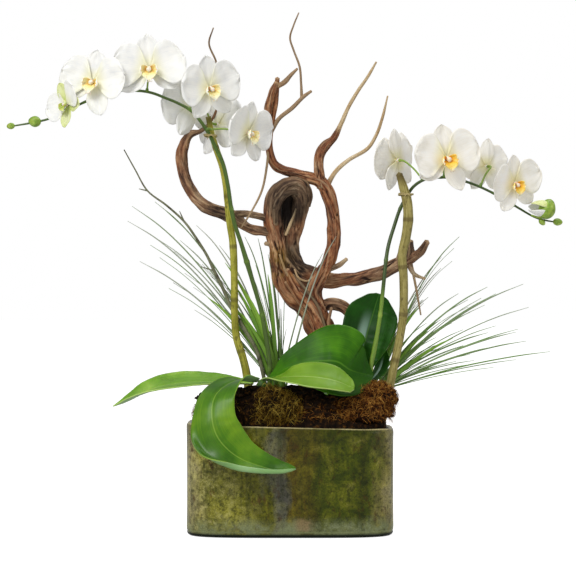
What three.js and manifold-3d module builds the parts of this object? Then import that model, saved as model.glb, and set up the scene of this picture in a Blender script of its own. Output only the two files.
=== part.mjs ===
// Two white moth orchids in a glazed planter, with driftwood and two tufts of grass.
// Millimetres, +Z up. The origin is the middle of the planter's foot, the planter's long side
// runs along X, and the flowers face -Y.
import * as THREE from 'three';
import Module from 'manifold-3d';

const wasm = await Module();
wasm.setup();

// Driving dimensions
const CLEARANCE = 0.5; // between pieces that touch
const PLANTER = {
  halfLength: 138, halfDepth: 65, height: 144.5, rimDrop: 3.5, // the rim falls this much to the right
  wall: 8, floor: 10, footInset: 6, squareness: 4, segments: 24,
};
const MOUND = { steepTop: 163, shoulder: 177, crest: 190, relief: 2.5 };
const BLOOM = {
  petal: { length: 46, width: 56, widest: 0.56, claw: 0.09, tip: 0.5, lift: 1.6, rows: 4, columns: 3 },
  sepal: { length: 43, width: 29, widest: 0.5, claw: 0.18, tip: 0.36, lift: -1.6, rows: 3, columns: 2 },
  bladeThickness: 1.1, rootReach: 2.4, columnBase: 3.8, columnLength: 10, lipLength: 17,
};
const LEAF = { thickness: 2, rows: 9, columns: 4 };
const GRASS = { bladeWidth: 1.5, clumpRadius: 9, rootZ: 159 };

const COLOURS = {
  glaze: 0x6d7434, soil: 0x2b1d12, moss: 0x7d6a2a, coir: 0x6b3a16, leafBright: 0x5f9a25,
  leafDark: 0x2f5d12, spike: 0x4c6324, stakeLeft: 0x8b8f3a, stakeRight: 0x8a8148, tie: 0x6a5a38,
  wood: 0x6a4128, twig: 0x7a6a50, grass: 0x5f7f38, petal: 0xf3f1ea, bud: 0x9cb33c,
};

const up = new THREE.Vector3(0, 0, 1);
const vector = ([x, y, z]) => new THREE.Vector3(x, y, z);

// Smooth, repeatable unevenness between -1 and 1
function ripple(x, y, z) {
  const a = Math.sin(0.11 * x + 1.7 * Math.sin(0.07 * y) + 0.09 * z);
  const b = Math.sin(0.19 * y - 0.13 * z + 1.3 * Math.sin(0.08 * x) + 2);
  return 0.5 * a + 0.5 * b;
}

// A repeatable run of numbers between 0 and 1
function seededDraw(seed) {
  let state = seed;
  return () => {
    state = (state * 1664525 + 1013904223) % 4294967296;
    return state / 4294967296;
  };
}

// Points and triangles become one solid, turned right side out if need be
function solidFrom(points, triangles) {
  let volume = 0;
  for (const [a, b, c] of triangles) {
    volume += points[a].dot(points[b].clone().cross(points[c]));
  }
  const order = volume < 0 ? triangles.map(([a, b, c]) => [a, c, b]) : triangles;
  return new wasm.Manifold(new wasm.Mesh({
    numProp: 3,
    vertProperties: new Float32Array(points.flatMap((point) => point.toArray())),
    triVerts: new Uint32Array(order.flat()),
  }));
}

function joined(solids) {
  return solids.reduce((whole, solid) => whole.add(solid));
}

// Rings of equal count, one after another, with a fan over the first and the last
function loft(rings) {
  const sides = rings[0].length;
  const points = rings.flat();
  const triangles = [];
  for (let ring = 0; ring < rings.length - 1; ring += 1) {
    for (let side = 0; side < sides; side += 1) {
      const a = ring * sides + side;
      const b = ring * sides + (side + 1) % sides;
      triangles.push([a, b, b + sides], [a, b + sides, a + sides]);
    }
  }
  const middle = (ring) => ring.reduce((sum, point) => sum.add(point), new THREE.Vector3())
    .divideScalar(sides);
  points.push(middle(rings[0]), middle(rings[rings.length - 1]));
  const last = (rings.length - 1) * sides;
  for (let side = 0; side < sides; side += 1) {
    const next = (side + 1) % sides;
    triangles.push([points.length - 2, next, side]);
    triangles.push([points.length - 1, last + side, last + next]);
  }
  return solidFrom(points, triangles);
}

// A tapered stem through [x, y, z, radius] points. gnarl makes its section uneven, flat makes it
// a strap, and grow widens it for the hole that it stands in.
function stem(route, { sides = 6, gnarl = 0, flat = 1, grow = 0 } = {}) {
  const curve = new THREE.CatmullRomCurve3(route.map(vector), false, 'centripetal');
  const normal = new THREE.Vector3();
  const rings = [];
  for (let i = 0; i < route.length; i += 1) {
    const at = i / (route.length - 1);
    const centre = curve.getPoint(at);
    const tangent = curve.getTangent(at);
    if (i === 0) {
      const startsAlongY = Math.abs(tangent.y) > 0.9;
      normal.crossVectors(tangent, startsAlongY ? up : new THREE.Vector3(0, 1, 0));
    }
    normal.addScaledVector(tangent, -normal.dot(tangent)).normalize();
    const side = new THREE.Vector3().crossVectors(tangent, normal);
    const ring = [];
    for (let k = 0; k < sides; k += 1) {
      const turn = 2 * Math.PI * k / sides;
      const uneven = 1 + gnarl * Math.sin(2 * turn + 1.3 * i) + gnarl * Math.sin(3 * turn - 0.9 * i);
      const reach = route[i][3] * uneven + grow;
      ring.push(centre.clone().addScaledVector(normal, reach * Math.cos(turn))
        .addScaledVector(side, reach * flat * Math.sin(turn)));
    }
    rings.push(ring);
  }
  if (grow > 0) {
    rings[0].forEach((point) => point.addScaledVector(up, -grow)); // room under the end too
  }
  return loft(rings);
}

// A thin closed sheet round a middle surface; both faces are split into triangles alike
function sheet(surface, rowStops, columns, thickness) {
  const points = [];
  const nudge = 0.004;
  for (const face of [0.5, -0.5]) {
    for (const s of rowStops) {
      for (let j = 0; j <= columns; j += 1) {
        const c = 2 * j / columns - 1;
        const along = surface(s + nudge, c).sub(surface(s - nudge, c));
        const across = surface(s, c + nudge).sub(surface(s, c - nudge));
        const normal = across.cross(along).normalize();
        points.push(surface(s, c).addScaledVector(normal, face * thickness));
      }
    }
  }
  const width = columns + 1;
  const under = rowStops.length * width;
  const triangles = [];
  for (let i = 0; i < rowStops.length - 1; i += 1) {
    for (let j = 0; j < columns; j += 1) {
      const a = i * width + j;
      triangles.push([a, a + 1, a + width + 1], [a, a + width + 1, a + width]);
      triangles.push([under + a, under + a + width + 1, under + a + 1]);
      triangles.push([under + a, under + a + width, under + a + width + 1]);
    }
  }
  const rim = [];
  for (let j = 0; j < columns; j += 1) rim.push(j);
  for (let i = 0; i < rowStops.length - 1; i += 1) rim.push(i * width + columns);
  for (let j = columns; j > 0; j -= 1) rim.push((rowStops.length - 1) * width + j);
  for (let i = rowStops.length - 1; i > 0; i -= 1) rim.push(i * width);
  rim.forEach((a, k) => {
    const b = rim[(k + 1) % rim.length];
    triangles.push([a, under + a, under + b], [a, under + b, b]);
  });
  return solidFrom(points, triangles);
}

const stops = (rows) => Array.from({ length: rows + 1 }, (_, i) => i / rows);

// A rounded lump with an uneven surface; grow makes it wider all round
function lump(centre, radii, { unevenness = 0, detail = 2, grow = 0 } = {}) {
  const ball = new THREE.IcosahedronGeometry(1, detail);
  const place = ball.getAttribute('position');
  const seen = new Map();
  const points = [];
  const index = [];
  for (let i = 0; i < place.count; i += 1) {
    const point = new THREE.Vector3().fromBufferAttribute(place, i);
    const key = point.toArray().map((value) => value.toFixed(4)).join();
    if (!seen.has(key)) {
      seen.set(key, points.length);
      const spot = point.clone().multiply(vector(radii)).add(vector(centre));
      const reach = 1 + unevenness * ripple(3 * spot.x, 3 * spot.y, 3 * spot.z);
      points.push(spot.sub(vector(centre)).multiplyScalar(reach).addScaledVector(point, grow)
        .add(vector(centre)));
    }
    index.push(seen.get(key));
  }
  const triangles = [];
  for (let i = 0; i < index.length; i += 3) triangles.push(index.slice(i, i + 3));
  return solidFrom(points, triangles);
}

const group = new THREE.Group();

function addPiece(name, solid, colour, { roughness = 0.6, place = null } = {}) {
  const mesh = solid.getMesh();
  const geometry = new THREE.BufferGeometry();
  geometry.setAttribute('position', new THREE.BufferAttribute(new Float32Array(mesh.vertProperties), 3));
  geometry.setIndex(new THREE.BufferAttribute(new Uint32Array(mesh.triVerts), 1));
  geometry.computeVertexNormals();
  const material = new THREE.MeshStandardMaterial({ color: colour, roughness, metalness: 0 });
  const piece = new THREE.Mesh(geometry, material);
  piece.name = name;
  if (place) {
    piece.position.copy(place.position);
    piece.quaternion.copy(place.quaternion);
  }
  group.add(piece);
}

// The planter: a rounded rectangle with bowed sides
function planterRing(inset, height, slope = 1) {
  const ring = [];
  for (let i = 0; i < PLANTER.segments; i += 1) {
    const turn = 2 * Math.PI * i / PLANTER.segments;
    const bow = (value) => Math.sign(value) * Math.abs(value) ** (2 / PLANTER.squareness);
    const x = (PLANTER.halfLength - inset) * bow(Math.cos(turn));
    const y = (PLANTER.halfDepth - inset) * bow(Math.sin(turn));
    const z = typeof height === 'function' ? height(x, y) : height;
    ring.push(new THREE.Vector3(x, y, z - slope * PLANTER.rimDrop * x / PLANTER.halfLength));
  }
  return ring;
}

function planter() {
  const { height, wall, floor, footInset } = PLANTER;
  return loft([
    planterRing(footInset, 0, 0), planterRing(footInset / 3, 1.5, 0), planterRing(0.5, 5, 0),
    planterRing(0, 11, 0), planterRing(0.5, height / 2, 0.5), planterRing(0, height - 4),
    planterRing(1.5, height - 0.8), planterRing(wall / 2, height), planterRing(wall - 1.5, height - 0.8),
    planterRing(wall, height - 4), planterRing(wall + 1, floor + 8, 0), planterRing(wall + 8, floor, 0),
  ]);
}

// How high the mound stands, before holes
function moundHeight(x, y) {
  const side = 1 - Math.min(1, Math.abs(y) / PLANTER.halfDepth) ** 2;
  return MOUND.shoulder + (MOUND.crest - MOUND.shoulder) * side + MOUND.relief * ripple(2 * x, 3 * y, 0);
}

function mound() {
  const { height, wall, floor } = PLANTER;
  const gap = CLEARANCE;
  const steep = (x, y) => MOUND.steepTop + 3 * ripple(3 * x, 2 * y, 5);
  return loft([
    planterRing(wall + 8 + gap, floor + gap, 0), planterRing(wall + 1 + gap, floor + 8 + gap, 0),
    planterRing(wall + gap, height - 6), planterRing(wall + 4, steep, 0),
    planterRing(wall + 9, (x, y) => moundHeight(x, y) - 4, 0), planterRing(wall + 24, moundHeight, 0),
    planterRing(wall + 42, moundHeight, 0),
  ]);
}

const mossClump = (grow) => lump([-13, -45, 170], [28, 14, 25], { unevenness: 0.12, grow });
const coirMat = (grow) => joined([
  lump([92, -39, 165], [49, 17, 18], { unevenness: 0.08, grow }),
  lump([113, -22, 177], [34, 28, 20], { unevenness: 0.08, grow }),
]);

// The stakes that the spikes are tied to
const STAKE_LEFT = [
  [-52, 22, 123, 5.8], [-58, 20, 206, 5.8], [-64, 20, 233, 5.4], [-72, 19, 259, 5.2], [-75, 18, 293, 5],
  [-75, 16, 335, 5], [-77, 14, 388, 5], [-81, 13, 413, 4.8], [-86, 11, 464, 4.8], [-91, 10, 490, 4.6],
  [-99, 9, 513, 4.4], [-105, 8, 533, 4.2], [-110, 7, 557, 3.8],
];
const STAKE_RIGHT = [
  [118, 12, 123, 6], [136, 8, 203, 6], [142, 6, 233, 5.8], [147, 4, 257, 5.6], [152, 2, 293, 5.8],
  [152, 0, 344, 6], [150, -2, 370, 6.2], [155, -3, 394, 6.6], [158, -4, 417, 7], [157, -4, 440, 6.8],
  [152, -4, 460, 6], [146, -4, 479, 4.6],
];

// The flower spikes
const SPIKE_LEFT = [
  [-34, 8, 143, 3.4], [-27, 8, 219, 3.2], [-32, 8, 258, 3.1], [-39, 7, 297, 3], [-50, 5, 335, 3],
  [-58, 3, 362, 3.4], [-66, 1, 388, 2.9], [-74, -1, 412, 2.8], [-79, -2, 435, 2.8], [-83, -3, 463, 2.7],
  [-90, -4, 494, 2.7], [-98, -5, 511, 2.6], [-107, -6, 530, 2.5], [-117, -5, 546, 2.3],
  [-131, -4, 563, 2.1], [-148, -4, 573, 2], [-167, -4, 581, 1.9], [-186, -4, 588, 1.9],
  [-208, -4, 591, 1.8], [-230, -5, 590, 1.7], [-254, -6, 584, 1.7], [-279, -7, 573, 1.6],
  [-300, -8, 563, 1.6], [-321, -8, 553, 1.5], [-341, -8, 548, 1.4], [-370, -8, 543, 1.1],
];
const SPIKE_RIGHT = [
  [104, -8, 143, 3.2], [108, -8, 222, 3], [112, -9, 242, 3.3], [117, -10, 269, 2.8],
  [121, -10, 296, 2.7], [125, -9, 333, 2.6], [128, -5, 361, 2.5], [132, 0, 384, 2.5],
  [140, 5, 410, 2.4], [148, 8, 433, 2.3], [158, 7, 452, 2.2], [166, 3, 463, 2.1], [178, -2, 471, 2],
  [190, -4, 474, 1.9], [215, -5, 474, 1.8], [238, -5, 468, 1.8], [256, -5, 461, 1.7],
  [282, -5, 448, 1.6], [305, -5, 434, 1.5], [328, -5, 421, 1.3], [342, -5, 417, 1.2], [354, -5, 415, 1],
];

// Each bloom: where its centre is, which way it faces (degrees to the right, degrees up), how far
// it is rolled clockwise, its size, and how far its petals close forwards. foot is the point of the
// spike that its stalk leaves, where that isn't the nearest one, and rise is how far the stalk bows up.
const BLOOMS_LEFT = [
  { centre: [-294, -38, 569], turn: -48, tilt: 4, roll: -25, size: 0.68, close: 0.55, foot: [-303, -8, 562] },
  { centre: [-261, -27, 599], turn: -14, tilt: 6, roll: 6, size: 0.98, close: 0.1 },
  { centre: [-187, -25, 617], turn: 2, tilt: 2, roll: -4, size: 1.04, close: 0.05 },
  { centre: [-144, 32, 589], turn: -125, tilt: 0, roll: 10, size: 0.9, close: 0.3 },
  { centre: [-107, -28, 591], turn: 31, tilt: -4, roll: -11, size: 0.95, close: 0.2 },
  {
    centre: [-92, 32, 546], turn: 113, tilt: -9, roll: 7, size: 0.8, close: 0.3,
    foot: [-128, -4, 559], rise: 14, // its stalk passes over the cut end of the stake
  },
  { centre: [-56, -18, 533], turn: 50, tilt: -6, roll: 4, size: 0.92, close: 0.2 },
];
const BLOOMS_RIGHT = [
  { centre: [146, 36, 500], turn: -128, tilt: 4, roll: 14, size: 0.95, close: 0.2, foot: [178, -2, 471] },
  { centre: [207, -27, 498], turn: 20, tilt: 0, roll: -10, size: 1, close: 0.15 },
  { centre: [266, 22, 491], turn: -150, tilt: 6, roll: 0, size: 0.82, close: 0.2 },
  { centre: [298, -24, 465], turn: 30, tilt: -8, roll: -14, size: 0.84, close: 0.3 },
];

function placeOf({ centre, turn, tilt, roll }) {
  const side = THREE.MathUtils.degToRad(turn);
  const rise = THREE.MathUtils.degToRad(tilt);
  const face = new THREE.Vector3(
    Math.sin(side) * Math.cos(rise), -Math.cos(side) * Math.cos(rise), Math.sin(rise));
  const top = up.clone().addScaledVector(face, -up.dot(face)).normalize();
  const right = new THREE.Vector3().crossVectors(top, face);
  const basis = new THREE.Matrix4().makeBasis(right, top, face);
  basis.multiply(new THREE.Matrix4().makeRotationZ(THREE.MathUtils.degToRad(-roll)));
  return {
    position: vector(centre), quaternion: new THREE.Quaternion().setFromRotationMatrix(basis), face,
  };
}

// One petal or sepal. claw and tip are the widths of its ends as shares of its width, lift is how
// far it stands in front, and bend and cup curve it forwards. angle is clockwise from the top of the
// bloom, and Z is out of its face.
function blade({ angle, length, width, widest, claw, tip, lift, bend, cup, rows, columns }) {
  const turn = THREE.MathUtils.degToRad(angle);
  const out = new THREE.Vector3(Math.sin(turn), Math.cos(turn), 0);
  const across = new THREE.Vector3(Math.cos(turn), -Math.sin(turn), 0);
  const power = Math.log(0.5) / Math.log(widest);
  const surface = (s, c) => {
    const bulge = Math.max(0, Math.sin(Math.PI * THREE.MathUtils.clamp(s, 0, 1) ** power));
    const least = THREE.MathUtils.lerp(claw, tip, s);
    const half = width / 2 * (least + (1 - least) * bulge ** 0.8);
    const forward = lift + bend * length * s * s + cup * half * c * c
      + 0.03 * width * s * Math.sin(4 * s + 2.5 * c + angle);
    return out.clone().multiplyScalar(BLOOM.rootReach + length * (s - 0.17 * c * c * s ** 3))
      .addScaledVector(across, half * c).add(new THREE.Vector3(0, 0, forward));
  };
  return sheet(surface, stops(rows), columns, BLOOM.bladeThickness);
}

function bloom({ size, close }) {
  const { petal, sepal, columnBase, columnLength, lipLength } = BLOOM;
  const bend = 0.5 * close - 0.04;
  return joined([
    stem([[0, 0, -columnBase, 2.4], [0, 0, -0.5, 4.4], [0, 0, 3.4, 3.4], [0, -1.5, columnLength, 2.2]],
      { sides: 5 }),
    blade({ ...sepal, angle: 0, bend, cup: 0.12 }),
    ...[142, -142].map((angle) => blade({ ...sepal, angle, bend: bend * 0.6, cup: 0.14 })),
    ...[74, -74].map((angle) => blade({ ...petal, angle, bend: bend + 0.04, cup: 0.1 })),
    stem([[0, -2, 2, 2.2], [0, -6, 7, 3.4], [0, -lipLength * 0.7, 11, 3.2], [0, -lipLength, 9, 1]],
      { sides: 4, flat: 1.5 }),
    ...[3, -3].map((x) => (
      stem([[x, -2, 4, 3.2], [2.2 * x, -3.5, 9, 3], [2 * x, -4.5, 14, 0.8]], { sides: 3 }))),
  ]).scale(size);
}

// The nearest point of a spike to a bloom, past its first bend
function nearestOn(route, target) {
  const curve = new THREE.CatmullRomCurve3(route.map(vector), false, 'centripetal');
  const spots = curve.getPoints(200).slice(100);
  return spots.reduce((best, spot) => (
    spot.distanceTo(target) < best.distanceTo(target) ? spot : best));
}

// The little stalk from the spike to the back of a bloom
function stalk(spike, plan) {
  const { position, face } = placeOf(plan);
  const back = position.clone().addScaledVector(face, -(BLOOM.columnBase * plan.size + 2 * CLEARANCE));
  const foot = nearestOn(spike, plan.foot ? vector(plan.foot) : back);
  const neck = back.clone().addScaledVector(face, -5);
  const knee = foot.clone().lerp(neck, 0.5).addScaledVector(up, plan.rise ?? 3);
  const route = [[foot, 1.3], [knee, 1.3], [neck, 1.3], [back, 1.7]];
  return stem(route.map(([point, radius]) => [...point.toArray(), radius]), { sides: 4 });
}

const bud = (centre, radii, detail = 0) => lump(centre, radii, { detail });

function spikeLeft() {
  return joined([
    stem(SPIKE_LEFT, { sides: 5 }), ...BLOOMS_LEFT.map((plan) => stalk(SPIKE_LEFT, plan)),
    bud([-341, -8, 549], [8.5, 7.5, 7.5], 1), bud([-373, -8, 543], [5.5, 4.4, 4.4]),
  ]);
}

function spikeRight() {
  return joined([
    stem(SPIKE_RIGHT, { sides: 5 }), ...BLOOMS_RIGHT.map((plan) => stalk(SPIKE_RIGHT, plan)),
    bud([358, -5, 415], [6.5, 5, 5]), bud([296, -6, 439], [7, 5, 5]), bud([337, -5, 415], [5.4, 4, 4.4]),
    stem([[305, -5, 434, 1.1], [318, -9, 440, 1.2], [326.5, -12, 436, 1.4]], { sides: 4 }),
  ]);
}

// The short stems that the leaves grow from
const CROWN_LEFT = [[-38, -11, 161, 7], [-38, -11, 183, 9], [-38, -11, 201, 8.5], [-37, -11, 213, 4]];
const CROWN_RIGHT = [[96, -4, 161, 6], [96, -4, 183, 8], [97, -4, 199, 7.5], [98, -4, 209, 4]];

// A leaf runs through its stations: middle line, half width, which way its face looks, and how far
// its left and right halves curl up, in degrees
function leaf(stations, thickness = LEAF.thickness) {
  const line = new THREE.CatmullRomCurve3(stations.map(({ at }) => vector(at)), false, 'centripetal');
  const blend = (place, read) => {
    const from = Math.min(Math.floor(place), stations.length - 2);
    const share = THREE.MathUtils.smoothstep(place - from, 0, 1);
    return THREE.MathUtils.lerp(read(stations[from]), read(stations[from + 1]), share);
  };
  const surface = (s, c) => {
    const inside = THREE.MathUtils.clamp(s, 0, 1);
    const place = inside * (stations.length - 1);
    const tangent = line.getTangent(inside);
    const face = new THREE.Vector3(...[0, 1, 2].map((axis) => blend(place, (one) => one.face[axis])));
    face.addScaledVector(tangent, -face.dot(tangent)).normalize();
    const across = new THREE.Vector3().crossVectors(tangent, face);
    const half = blend(place, (one) => one.half);
    const curl = blend(place, (one) => (c < 0 ? one.curl[0] : one.curl[1]));
    const bendAngle = THREE.MathUtils.degToRad(Math.max(1, Math.abs(curl)));
    const reach = Math.abs(c);
    const sideways = Math.sign(c) * half * Math.sin(bendAngle * reach) / bendAngle;
    const rise = Math.sign(curl || 1) * half * (1 - Math.cos(bendAngle * reach)) / bendAngle;
    return line.getPoint(inside).addScaledVector(tangent, (s - inside) * 200)
      .addScaledVector(across, sideways).addScaledVector(face, rise);
  };
  return sheet(surface, stops(LEAF.rows), LEAF.columns, thickness);
}

const LEAVES = {
  leaf_left_long: [COLOURS.leafBright, [
    { at: [-49, -11, 199], half: 7, face: [0, -0.2, 1], curl: [35, 35] },
    { at: [-95, -6, 201], half: 21, face: [0, -0.3, 1], curl: [30, 25] },
    { at: [-145, -4, 200], half: 28, face: [0, -0.35, 1], curl: [22, 20] },
    { at: [-185, -6, 192], half: 26, face: [-0.2, -0.3, 1], curl: [25, 25] },
    { at: [-216, -10, 177], half: 15, face: [-0.3, -0.15, 1], curl: [40, 35] },
    { at: [-236, -12, 169], half: 2, face: [-0.2, -0.1, 1], curl: [30, 30] },
  ]],
  leaf_left_drape: [COLOURS.leafBright, [
    { at: [-44, -24, 203], half: 7, face: [-0.4, 0.2, 1], curl: [35, 35] },
    { at: [-72, -48, 205], half: 20, face: [-0.3, -0.2, 1], curl: [25, 25] },
    { at: [-97, -74, 187], half: 28, face: [-0.4, -0.8, 0.6], curl: [12, 12] },
    { at: [-101, -88, 160], half: 31, face: [-0.25, -1, 0.3], curl: [5, 8] },
    { at: [-93, -94, 134], half: 34, face: [-0.1, -1, 0.2], curl: [8, 10] },
    { at: [-70, -97, 111], half: 30, face: [0.1, -1, 0.4], curl: [10, 50] },
    { at: [-40, -96, 98], half: 22, face: [0, -0.8, 0.7], curl: [25, 70] },
    { at: [-12, -94, 92], half: 14, face: [0, -0.6, 0.9], curl: [30, 75] },
    { at: [8, -92, 93], half: 3, face: [-0.2, -0.5, 1], curl: [20, 30] },
  ]],
  leaf_left_light: [COLOURS.leafBright, [
    { at: [-34, -23, 204], half: 6, face: [0, 0.1, 1], curl: [30, 30] },
    { at: [-8, -51, 210], half: 19, face: [0, -0.45, 1], curl: [20, 24] },
    { at: [26, -60, 211], half: 25, face: [0, -0.65, 0.8], curl: [14, 22] },
    { at: [58, -64, 207], half: 22, face: [0.1, -0.65, 0.8], curl: [14, 24] },
    { at: [84, -62, 197], half: 4, face: [0.3, -0.6, 0.8], curl: [10, 10] },
  ]],
  leaf_left_wide: [COLOURS.leafDark, [
    { at: [-27, -10, 206], half: 8, face: [-0.2, -0.2, 1], curl: [30, 30] },
    { at: [0, -14, 222], half: 24, face: [0, -0.7, 0.7], curl: [24, 20] },
    { at: [32, -22, 231], half: 40, face: [0, -0.85, 0.5], curl: [16, 12] },
    { at: [64, -26, 231], half: 46, face: [0, -0.88, 0.45], curl: [10, 14] },
    { at: [90, -24, 225], half: 37, face: [0, -0.88, 0.45], curl: [14, 18] },
    { at: [111, -21, 215], half: 6, face: [0.2, -0.8, 0.5], curl: [10, 10] },
  ]],
  leaf_right_upright: [COLOURS.leafDark, [
    { at: [97, 4.5, 203], half: 7, face: [0, -1, 0.1], curl: [30, 30] },
    { at: [97, 9, 233], half: 24, face: [-0.15, -1, 0.1], curl: [24, 10] },
    { at: [104, 14, 265], half: 35, face: [-0.25, -1, 0.1], curl: [16, 6] },
    { at: [113, 16, 295], half: 34, face: [-0.25, -1, 0], curl: [12, 6] },
    { at: [120, 14, 319], half: 12, face: [-0.2, -1, -0.1], curl: [10, 6] },
  ]],
  leaf_right_small: [COLOURS.leafDark, [
    { at: [106, -3, 200], half: 4, face: [-0.3, -1, 0.3], curl: [30, 30] },
    { at: [121, 12, 215], half: 9, face: [-0.3, -1, 0.3], curl: [20, 20] },
    { at: [127, 22, 231], half: 8, face: [-0.3, -1, 0.2], curl: [20, 20] },
    { at: [130, 26, 243], half: 2, face: [-0.3, -1, 0.2], curl: [20, 20] },
  ]],
};

// The driftwood's limbs, each [x, y, z, radius] route rooted well inside another
const TRUNK = [
  [58, 22, 133, 12], [55, 22, 173, 13], [50, 28, 222, 13], [43, 36, 251, 13], [32, 40, 276, 12.5],
  [16, 42, 297, 12], [2, 42, 313, 12.5], [-9, 40, 330, 12], [-15, 38, 353, 11.5],
  [-17, 35, 378, 11.5], [-21, 33, 403, 12], [-24, 31, 433, 12.5], [-19, 29, 453, 13],
  [-7, 28, 464, 13], [7, 30, 466, 12.5], [15, 34, 456, 12], [15, 40, 439, 11.5], [9, 46, 419, 11],
  [3, 50, 397, 11], [2, 52, 375, 11], [11, 52, 356, 11], [34, 50, 343, 11.5], [64, 48, 337, 10.5],
  [96, 46, 340, 10], [123, 44, 347, 9.5], [147, 42, 359, 9.5], [164, 40, 370, 9], [184, 36, 388, 6.5],
];
const LIMBS = [
  [[61, 32, 208, 10], [56, 34, 251, 11], [47, 32, 280, 11.5], [36, 30, 303, 11], [33, 29, 323, 10.5],
    [42, 28, 343, 10], [54, 31, 367, 9.5], [60, 34, 396, 9.5], [60, 34, 423, 9.5], [54, 33, 449, 9.5],
    [43, 32, 469, 9], [29, 32, 476, 8], [10, 32, 481, 7], [-10, 32, 487, 6.4], [-22, 32, 496, 5.8],
    [-28, 30, 518, 5], [-27, 29, 539, 4.5], [-23, 28, 560, 4], [-19, 27, 583, 3.8], [-17, 26, 611, 3.4]],
  [[-28, 29, 533, 3], [-16, 29, 555, 3.2], [3, 30, 571, 3], [18, 31, 586, 2.8], [29, 32, 594, 2]],
  [[-18, 26, 599, 3.4], [-7, 26, 606, 3.6], [1, 27, 615, 2.8], [10, 28, 624, 1.8]],
  [[-18, 25, 605, 3.6], [-24, 23, 591, 5], [-29, 22, 573, 5.6], [-32, 22, 559, 5.2], [-43, 21, 551, 3.6]],
  [[-28, 30, 529, 2.2], [-31, 27, 495, 1.8], [-38, 24, 459, 1.6], [-52, 20, 430, 1.4], [-66, 17, 408, 1.2]],
  [[16, 31, 583, 2.2], [15, 31, 605, 1.7], [13, 30, 627, 1.6], [5, 29, 649, 1.4], [0, 29, 666, 1.4],
    [5, 29, 683, 1.2], [12, 29, 700, 0.9]],
  [[44, 32, 463, 7.5], [39, 32, 489, 7.5], [41, 32, 509, 7], [48, 31, 520, 7], [60, 31, 531, 5.2],
    [70, 31, 551, 4.2], [81, 30, 575, 3.6], [93, 30, 595, 3.2], [106, 29, 614, 3], [117, 28, 633, 2.2]],
  [[46, 33, 457, 5], [62, 36, 485, 4], [80, 38, 501, 3.6], [106, 40, 517, 3.3], [118, 40, 536, 3.1],
    [126, 39, 559, 2.9], [133, 38, 588, 1.8]],
  [[50, 30, 353, 6], [65, 27, 357, 4], [77, 24, 366, 2.6]],
  [[150, 42, 357, 8.5], [155, 40, 376, 8], [156, 38, 392, 7]],
  [[161, 41, 363, 5], [169, 40, 346, 3], [184, 38, 339, 1.8]],
  [[166, 40, 355, 2.4], [170, 40, 336, 1.8], [174, 38, 313, 1.5], [178, 37, 290, 1.1]],
  [[40, 36, 301, 8], [58, 36, 305, 8.5], [75, 36, 298, 8], [87, 35, 283, 5.5]],
  [[-16, 34, 401, 8], [-38, 32, 404, 6.5], [-56, 31, 408, 6.4], [-80, 30, 424, 9], [-102, 29, 432, 9],
    [-118, 28, 440, 9], [-131, 28, 454, 8.8], [-141, 28, 472, 8.4], [-146, 29, 493, 8],
    [-145, 30, 517, 7.4], [-136, 31, 534, 5.4], [-121, 32, 540, 3], [-107, 33, 554, 1.9],
    [-95, 35, 584, 1.6], [-93, 35, 608, 1.5], [-101, 34, 636, 1.4], [-110, 33, 659, 1.3],
    [-104, 32, 680, 0.9]],
  [[-22, 32, 417, 5.4], [-38, 30, 423, 5], [-57, 29, 427, 5], [-76, 29, 427, 5.4]],
  [[-3, 42, 459, 8], [-4, 45, 433, 9.5], [-8, 45, 401, 8]],
];
const TWIG = [
  [-30, 22, 143, 2.8], [-33, 20, 192, 2.8], [-45, 21, 241, 2.7], [-61, 25, 270, 2.6], [-80, 29, 301, 2.5],
  [-91, 31, 326, 2.4], [-103, 34, 350, 2.2], [-113, 36, 371, 2], [-128, 38, 395, 1.8], [-144, 40, 417, 1.6],
  [-168, 40, 439, 1.4], [-194, 40, 459, 1.2], [-211, 40, 488, 1], [-226, 40, 515, 0.8],
];

function driftwood() {
  const limb = (route) => stem(route, { sides: Math.round(3 + route[0][3] / 2.6), gnarl: 0.07 });
  return joined([stem(TRUNK, { sides: 8, gnarl: 0.09 }), ...LIMBS.map(limb)]);
}

const clumpRoute = ([x, y]) => [
  [x, y, GRASS.rootZ, 6], [x, y, GRASS.rootZ + 24, GRASS.clumpRadius],
  [x, y, GRASS.rootZ + 46, 5],
];

// A tuft: thin three-sided blades that leave one clump and arch over to their tips
function tuft(root, tips, seed) {
  const draw = seededDraw(seed);
  const [x, y] = root;
  const clump = stem(clumpRoute(root));
  const blades = tips.map(([tipX, tipY, tipZ], index) => {
    const turn = 2.4 * index;
    const spread = GRASS.clumpRadius * 0.6 * Math.sqrt((index + 0.5) / tips.length);
    const foot = [x + spread * Math.cos(turn), y + spread * Math.sin(turn), GRASS.rootZ + 26];
    const rise = 0.5 + 0.1 * draw();
    const knee = [0.45, 0.8].map((share) => [
      foot[0] + (tipX - foot[0]) * share, foot[1] + (tipY - foot[1]) * share,
      foot[2] + (tipZ - foot[2]) * (share + rise * share * (1 - share)),
    ]);
    const width = GRASS.bladeWidth * (0.85 + 0.3 * draw());
    return stem([[...foot, width], [...knee[0], width], [...knee[1], width * 0.8], [tipX, tipY, tipZ, 0.5]],
      { sides: 3, flat: 0.6 });
  });
  return joined([clump, ...blades]);
}
const GRASS_LEFT_ROOT = [-12, 24];
const GRASS_RIGHT_ROOT = [114, 40];
const GRASS_LEFT_TIPS = [
  [-217, 62, 439], [-224, 70, 419], [-206, 58, 363], [-184, 74, 395], [-151, 66, 392], [-129, 72, 413],
  [-187, 80, 446], [-97, 62, 385], [-62, 58, 397], [-44, 66, 395], [-30, 72, 373], [-22, 60, 334],
  [-15, 62, 288], [62, 6, 396], [44, 4, 373], [-110, 84, 343],
];
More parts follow.
